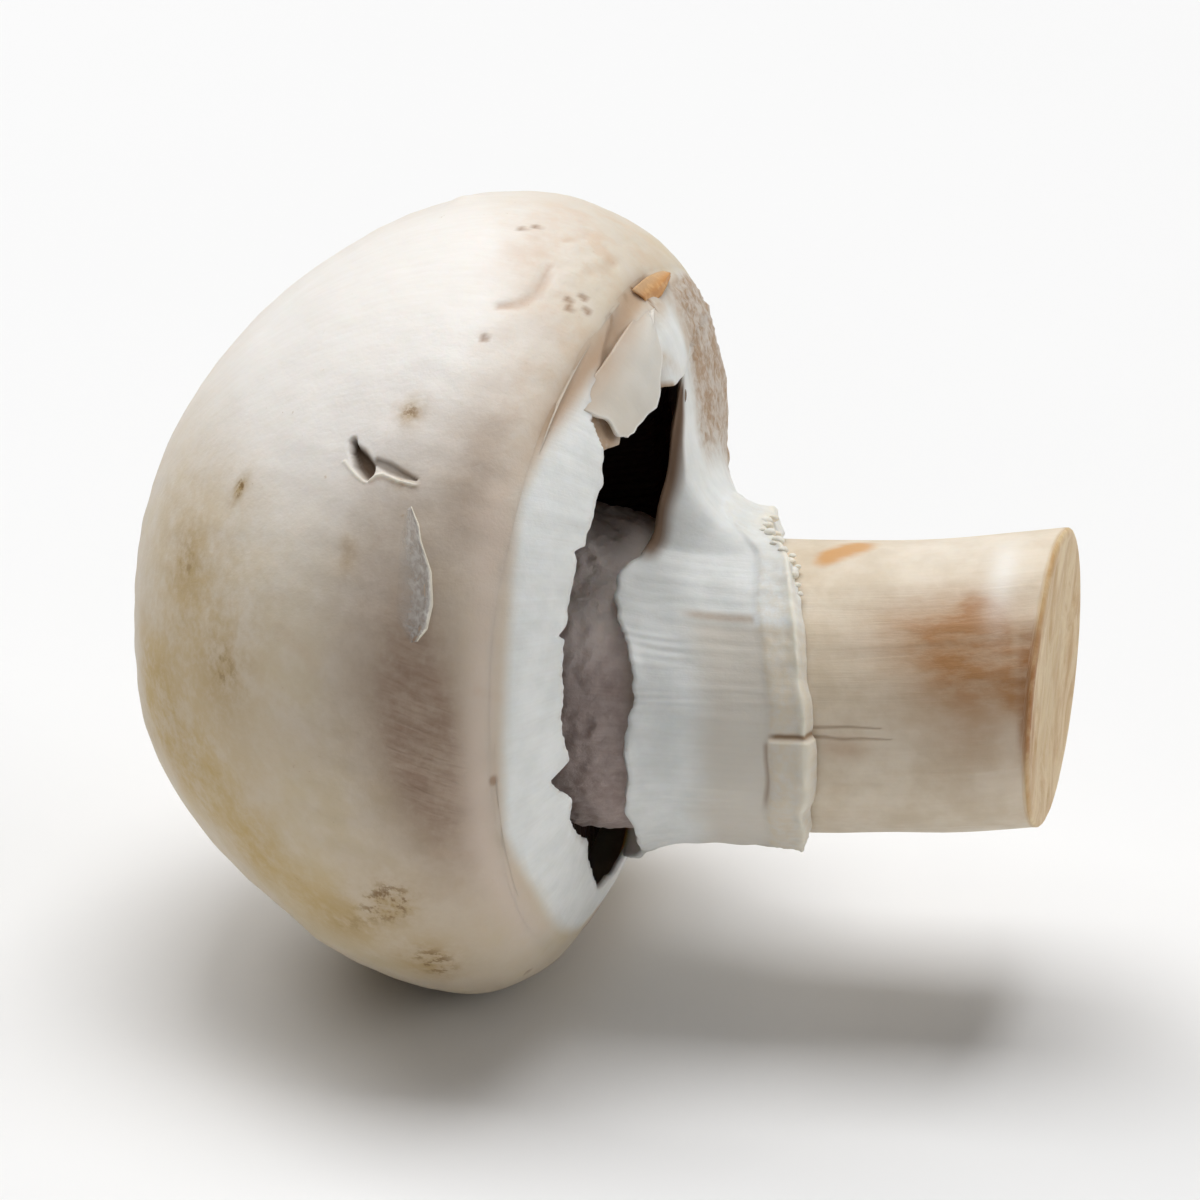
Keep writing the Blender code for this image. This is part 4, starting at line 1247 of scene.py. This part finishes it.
def veil_material():
    """White, silky membrane, cream on the ring, with the last of the skin's colour beside the cap, tan in its
    hollows and folds, partly its own and partly painted shade, and brown on its scaly far side."""
    paint = Paint("veil_membrane", 0.6, 0.3, 0.8)
    noises = _, middle, fine, _ = skin_noises(paint)
    fibre = paint.fibres(0.24, 14.0, 0.2)
    torn, ring_mask, roll, wedge, crease = paint.fields("torn_edge", "ring", "roll", "wedge", "crease")
    scaly, tan, lower, rim, spore_dust_and_shade = paint.fields("scales", "tan", "lower_part", "rim", "spore_dust_and_shade")
    skin_share, valley_shade_mask = paint.fields("skin_colour", "valley")
    mottled = (fine * 0.6 + middle * 0.4).step(0.40, 0.60)
    colour = paint.layers(
        (234, 235, 231),
        (middle.step(0.3, 0.7), (247, 247, 243)),
        # Cream tint below the skirt's line and on the flap, deeper on the flap's left side as painted shade.
        (lower * 0.8, (220, 210, 196)),
        (ring_mask * fine.step(0.3, 0.7) * 0.7, (224, 208, 182)),
        (roll * 0.7, (246, 238, 220)),
        ((fibre - 0.5) * 0.3 + 0.04, (204, 196, 184)),
        (scaly * (mottled * 0.45 + 0.5), (173, 142, 110)),
        # Tan painted shade in the border's folds; on the skirt, the brown line's own colour.
        (tan * (mottled * 0.3 + 0.6), (192, 164, 132)),
        # The torn inner layer's tan under the flap, darkened as painted shade.
        (wedge * (mottled * 0.2 + 0.75), (172, 144, 116)),
        (skin_share, skin_colour(paint, *noises, fibre)),
        # Tan painted shade along the valley's fold, where the border and the flap meet it.
        (valley_shade_mask * (middle * 0.5 + 0.35), VALLEY_SHADE_TAN),
        (torn * fine.step(0.5, 0.7) * 0.3, (186, 158, 126)),
        # Painted highlight along the torn flap's edges.
        (rim * 0.7, (252, 250, 244)),
        # Spore dust and painted shade on the veil's inner face where the tear closes.
        (spore_dust_and_shade, (120, 96, 76)),
        (crease * 0.85, (150, 116, 80)),
    )
    return paint.done(colour, (fibre - 0.5) * 0.016 + (fine - 0.5) * 0.03 + (fine - 0.5) * scaly * 0.12)


def stem_material():
    """Cream flesh with faint long fibres, brown stains drawn out along the stem, and a streaky cut face."""
    paint = Paint("stem_flesh", 0.55, 0.35, 1.0)
    place = paint.place()
    middle, fine = paint.noise(place, 2.6, 4.0, 0.6), paint.noise(place, 0.55, 4.0, 0.65)
    fibre = paint.fibres(0.3, 16.0, 0.25)
    blotch = paint.noise(paint.grain((1, 1, 1 / 2.2)), 0.9, 5.0, 0.6)
    streak = paint.noise(paint.grain((0.4, 0.7, 1.0)), 2.4, 5.0, 0.65, 1.6)
    cut, depth, cut_rim, inside, upper = paint.fields("cut", "cut_depth", "cut_rim", "inside", "painted_light_inside")
    stain, orange, white, crease = paint.fields("stain", "orange", "white", "crease")
    woolly = paint.layers(
        (206, 186, 180),
        ((fine * 0.5 + middle * 0.5).step(0.35, 0.62), (236, 222, 216)),
        ((fibre - 0.45) * 1.4, (176, 152, 142)),
        # Painted shade on the lower side of the stem inside the veil, and painted light on its upper side.
        ((1 - upper) * 0.45, (158, 136, 128)),
        (upper * 0.8, (255, 240, 232)),
    )
    cut_face = paint.layers(
        (222, 199, 160),
        (streak.step(0.3, 0.7), (192, 155, 108)),
        (depth.step(0.25, 0.8) * 0.3, (206, 184, 144)),
    )
    colour = paint.layers(
        (216, 200, 176),
        (middle.step(0.3, 0.7), (231, 218, 198)),
        ((fibre - 0.48) * 0.4, (200, 178, 144)),
        (stain * (blotch.step(0.30, 0.66) * 0.3 + 0.75), (177, 131, 86)),
        ((orange + (blotch - 0.5) * 0.6).step(0.3, 0.9) * 0.9, (212, 154, 84)),
        (crease * 0.4, (150, 118, 84)),
        (inside, woolly),
        (white * 0.8, (244, 240, 233)),
        (cut, cut_face),
        (cut_rim * (blotch.step(0.3, 0.6) * 0.4 + 0.5), (160, 108, 58)),
    )
    height = (fibre - 0.5) * 0.03 * (1 - inside) + (fine - 0.5) * (inside * 0.12 + 0.02)
    height = height + (fine - 0.5) * cut * 0.04 + (blotch - 0.5) * stain * 0.08
    return paint.done(colour, height)


def film_material():
    """A thin film of skin, grey and clear where it lies flat and cream where it stands up."""
    paint = Paint("peeled_film", 0.35)
    streak = paint.noise(paint.grain((1, 1, 1 / 3)), 0.5, 3.0, 0.6, 0.6)
    fine = paint.noise(paint.place(), 0.5)
    lifted, cover = paint.fields("lifted", "cover")
    colour = paint.layers(
        (196, 190, 184),
        (streak.step(0.3, 0.75), (232, 230, 226)),
        (lifted, (248, 240, 222)),
    )
    paint.link("Alpha", (cover * (streak.step(0.15, 0.85) * 0.5 + 0.5)).clamped())
    return paint.done(colour, (streak - 0.5) * 0.04 + (fine - 0.5) * 0.02)


def flake_material():
    """Dried skin, cream at its root and orange at its free edge."""
    paint = Paint("orange_flake", 0.5)
    fine = paint.noise(paint.place(), 0.4)
    (orange,) = paint.fields("orange")
    colour = paint.layers(
        (206, 176, 140), (orange, (204, 148, 92)), (fine.step(0.45, 0.7) * 0.5, (232, 192, 140)),
    )
    return paint.done(colour, (fine - 0.5) * 0.08)


def gill_material():
    """Ripe gills: chocolate brown, dusty with spores, paler on their free edges."""
    paint = Paint("gill_brown", 0.8)
    fine = paint.noise(paint.place(), 0.5, 4.0, 0.65)
    (tip,) = paint.fields("depth")
    dusty = fine.step(0.3, 0.7)
    colour = paint.layers((44, 32, 26), (dusty, (66, 48, 40)), (tip * 0.25, (96, 74, 62)))
    return paint.done(colour, (fine - 0.5) * 0.05)


# --- Stage ---

CAMERA_AZIMUTH, CAMERA_ELEVATION = radians(10.9), radians(25)
CAMERA_DISTANCE = 1.4
FILL_OF_FRAME = 0.78  # share of the picture's width that the mushroom takes
SENSOR = 36.0
FLOOR_HALF = 3.0
SKY_STRENGTH = 0.06
LIGHTS = (  # name, place, size, watts
    ("key_from_above", (0.0, 0.15, 1.0), 0.6, 7.2),
    ("left_from_above", (-0.55, 0.3, 0.8), 0.6, 4.0),
    ("right", (0.9, 0.1, 0.4), 0.6, 2.7),
    ("front", (0.1, -1.0, 0.5), 0.8, 0.7),
)


def in_scene(name, data):
    """A new object of the scene."""
    thing = bpy.data.objects.new(name, data)
    bpy.context.scene.collection.objects.link(thing)
    return thing


def add_floor():
    mesh = bpy.data.meshes.new("floor")
    corners = [(FLOOR_HALF * x, FLOOR_HALF * y, 0) for x, y in ((-1, -1), (1, -1), (1, 1), (-1, 1))]
    mesh.from_pydata(corners, [], [(0, 1, 2, 3)])
    paint = Paint("floor_white", 0.7)
    place = paint.place()
    colour = paint.layers((238, 238, 238), (paint.noise(place, 60.0), (241, 241, 241)))
    mesh.materials.append(paint.done(colour, (paint.noise(place, 2.0) - 0.5) * 0.01))
    floor = in_scene("floor", mesh)


def add_lights(target):
    for name, place, size, watts in LIGHTS:
        light = bpy.data.lights.new(name, "AREA")
        light.size, light.energy = size, watts
        lamp = in_scene(name, light)
        lamp.location = place
        lamp.rotation_euler = (target - Vector(place)).to_track_quat("-Z", "Y").to_euler()
    world = bpy.data.worlds.new("soft_sky")
    world.use_nodes = True
    background = world.node_tree.nodes["Background"]
    background.inputs["Color"].default_value = (1, 1, 1, 1)
    background.inputs["Strength"].default_value = SKY_STRENGTH
    bpy.context.scene.world = world


def add_camera(target, width):
    level = cos(CAMERA_ELEVATION)
    back = Vector((sin(CAMERA_AZIMUTH) * level, -cos(CAMERA_AZIMUTH) * level, sin(CAMERA_ELEVATION)))
    lens = bpy.data.cameras.new("camera")
    lens.sensor_width = SENSOR
    lens.lens = SENSOR * CAMERA_DISTANCE * FILL_OF_FRAME / width
    camera = in_scene("camera", lens)
    camera.location = target + back * CAMERA_DISTANCE
    camera.rotation_euler = back.to_track_quat("Z", "Y").to_euler()
    bpy.context.scene.camera = camera


# --- The mushroom ---


def main():
    cap_theta, stem_theta = around(CAP_COLUMNS, close_up=4.0), around(STEM_COLUMNS)
    outside, inner = cap_grid(cap_theta)
    side = stem_side(stem_theta, STEM_LEVELS[:, None])
    foot = cut_plane(stem_side(stem_theta, CUT_HEIGHT))
    laying = laying_matrix(np.concatenate([outside.reshape(-1, 3), side.reshape(-1, 3), foot]))
    slope = cut_plane(np.array(side)) - side
    side = side + slope * smooth(-STEM_LEVELS, 20, -CUT_HEIGHT)[:, None, None]

    membrane = veil_material()
    skin = Skin(cap_theta, add_cap(cap_theta, outside, inner, laying, skin_material()))
    add_stem(stem_theta, side, laying, stem_material())
    add_veil(laying, membrane)
    add_gills(laying, gill_material())
    add_flap(laying, membrane)
    add_crumbs(laying, membrane)
    add_film(skin, laying, film_material())
    add_flake(laying, flake_material())

    target = (cad_low + cad_high) / 2
    add_floor()
    add_lights(target)
    add_camera(target, cad_high.x - cad_low.x)
    bpy.context.scene.view_settings.view_transform = "Standard"


main()
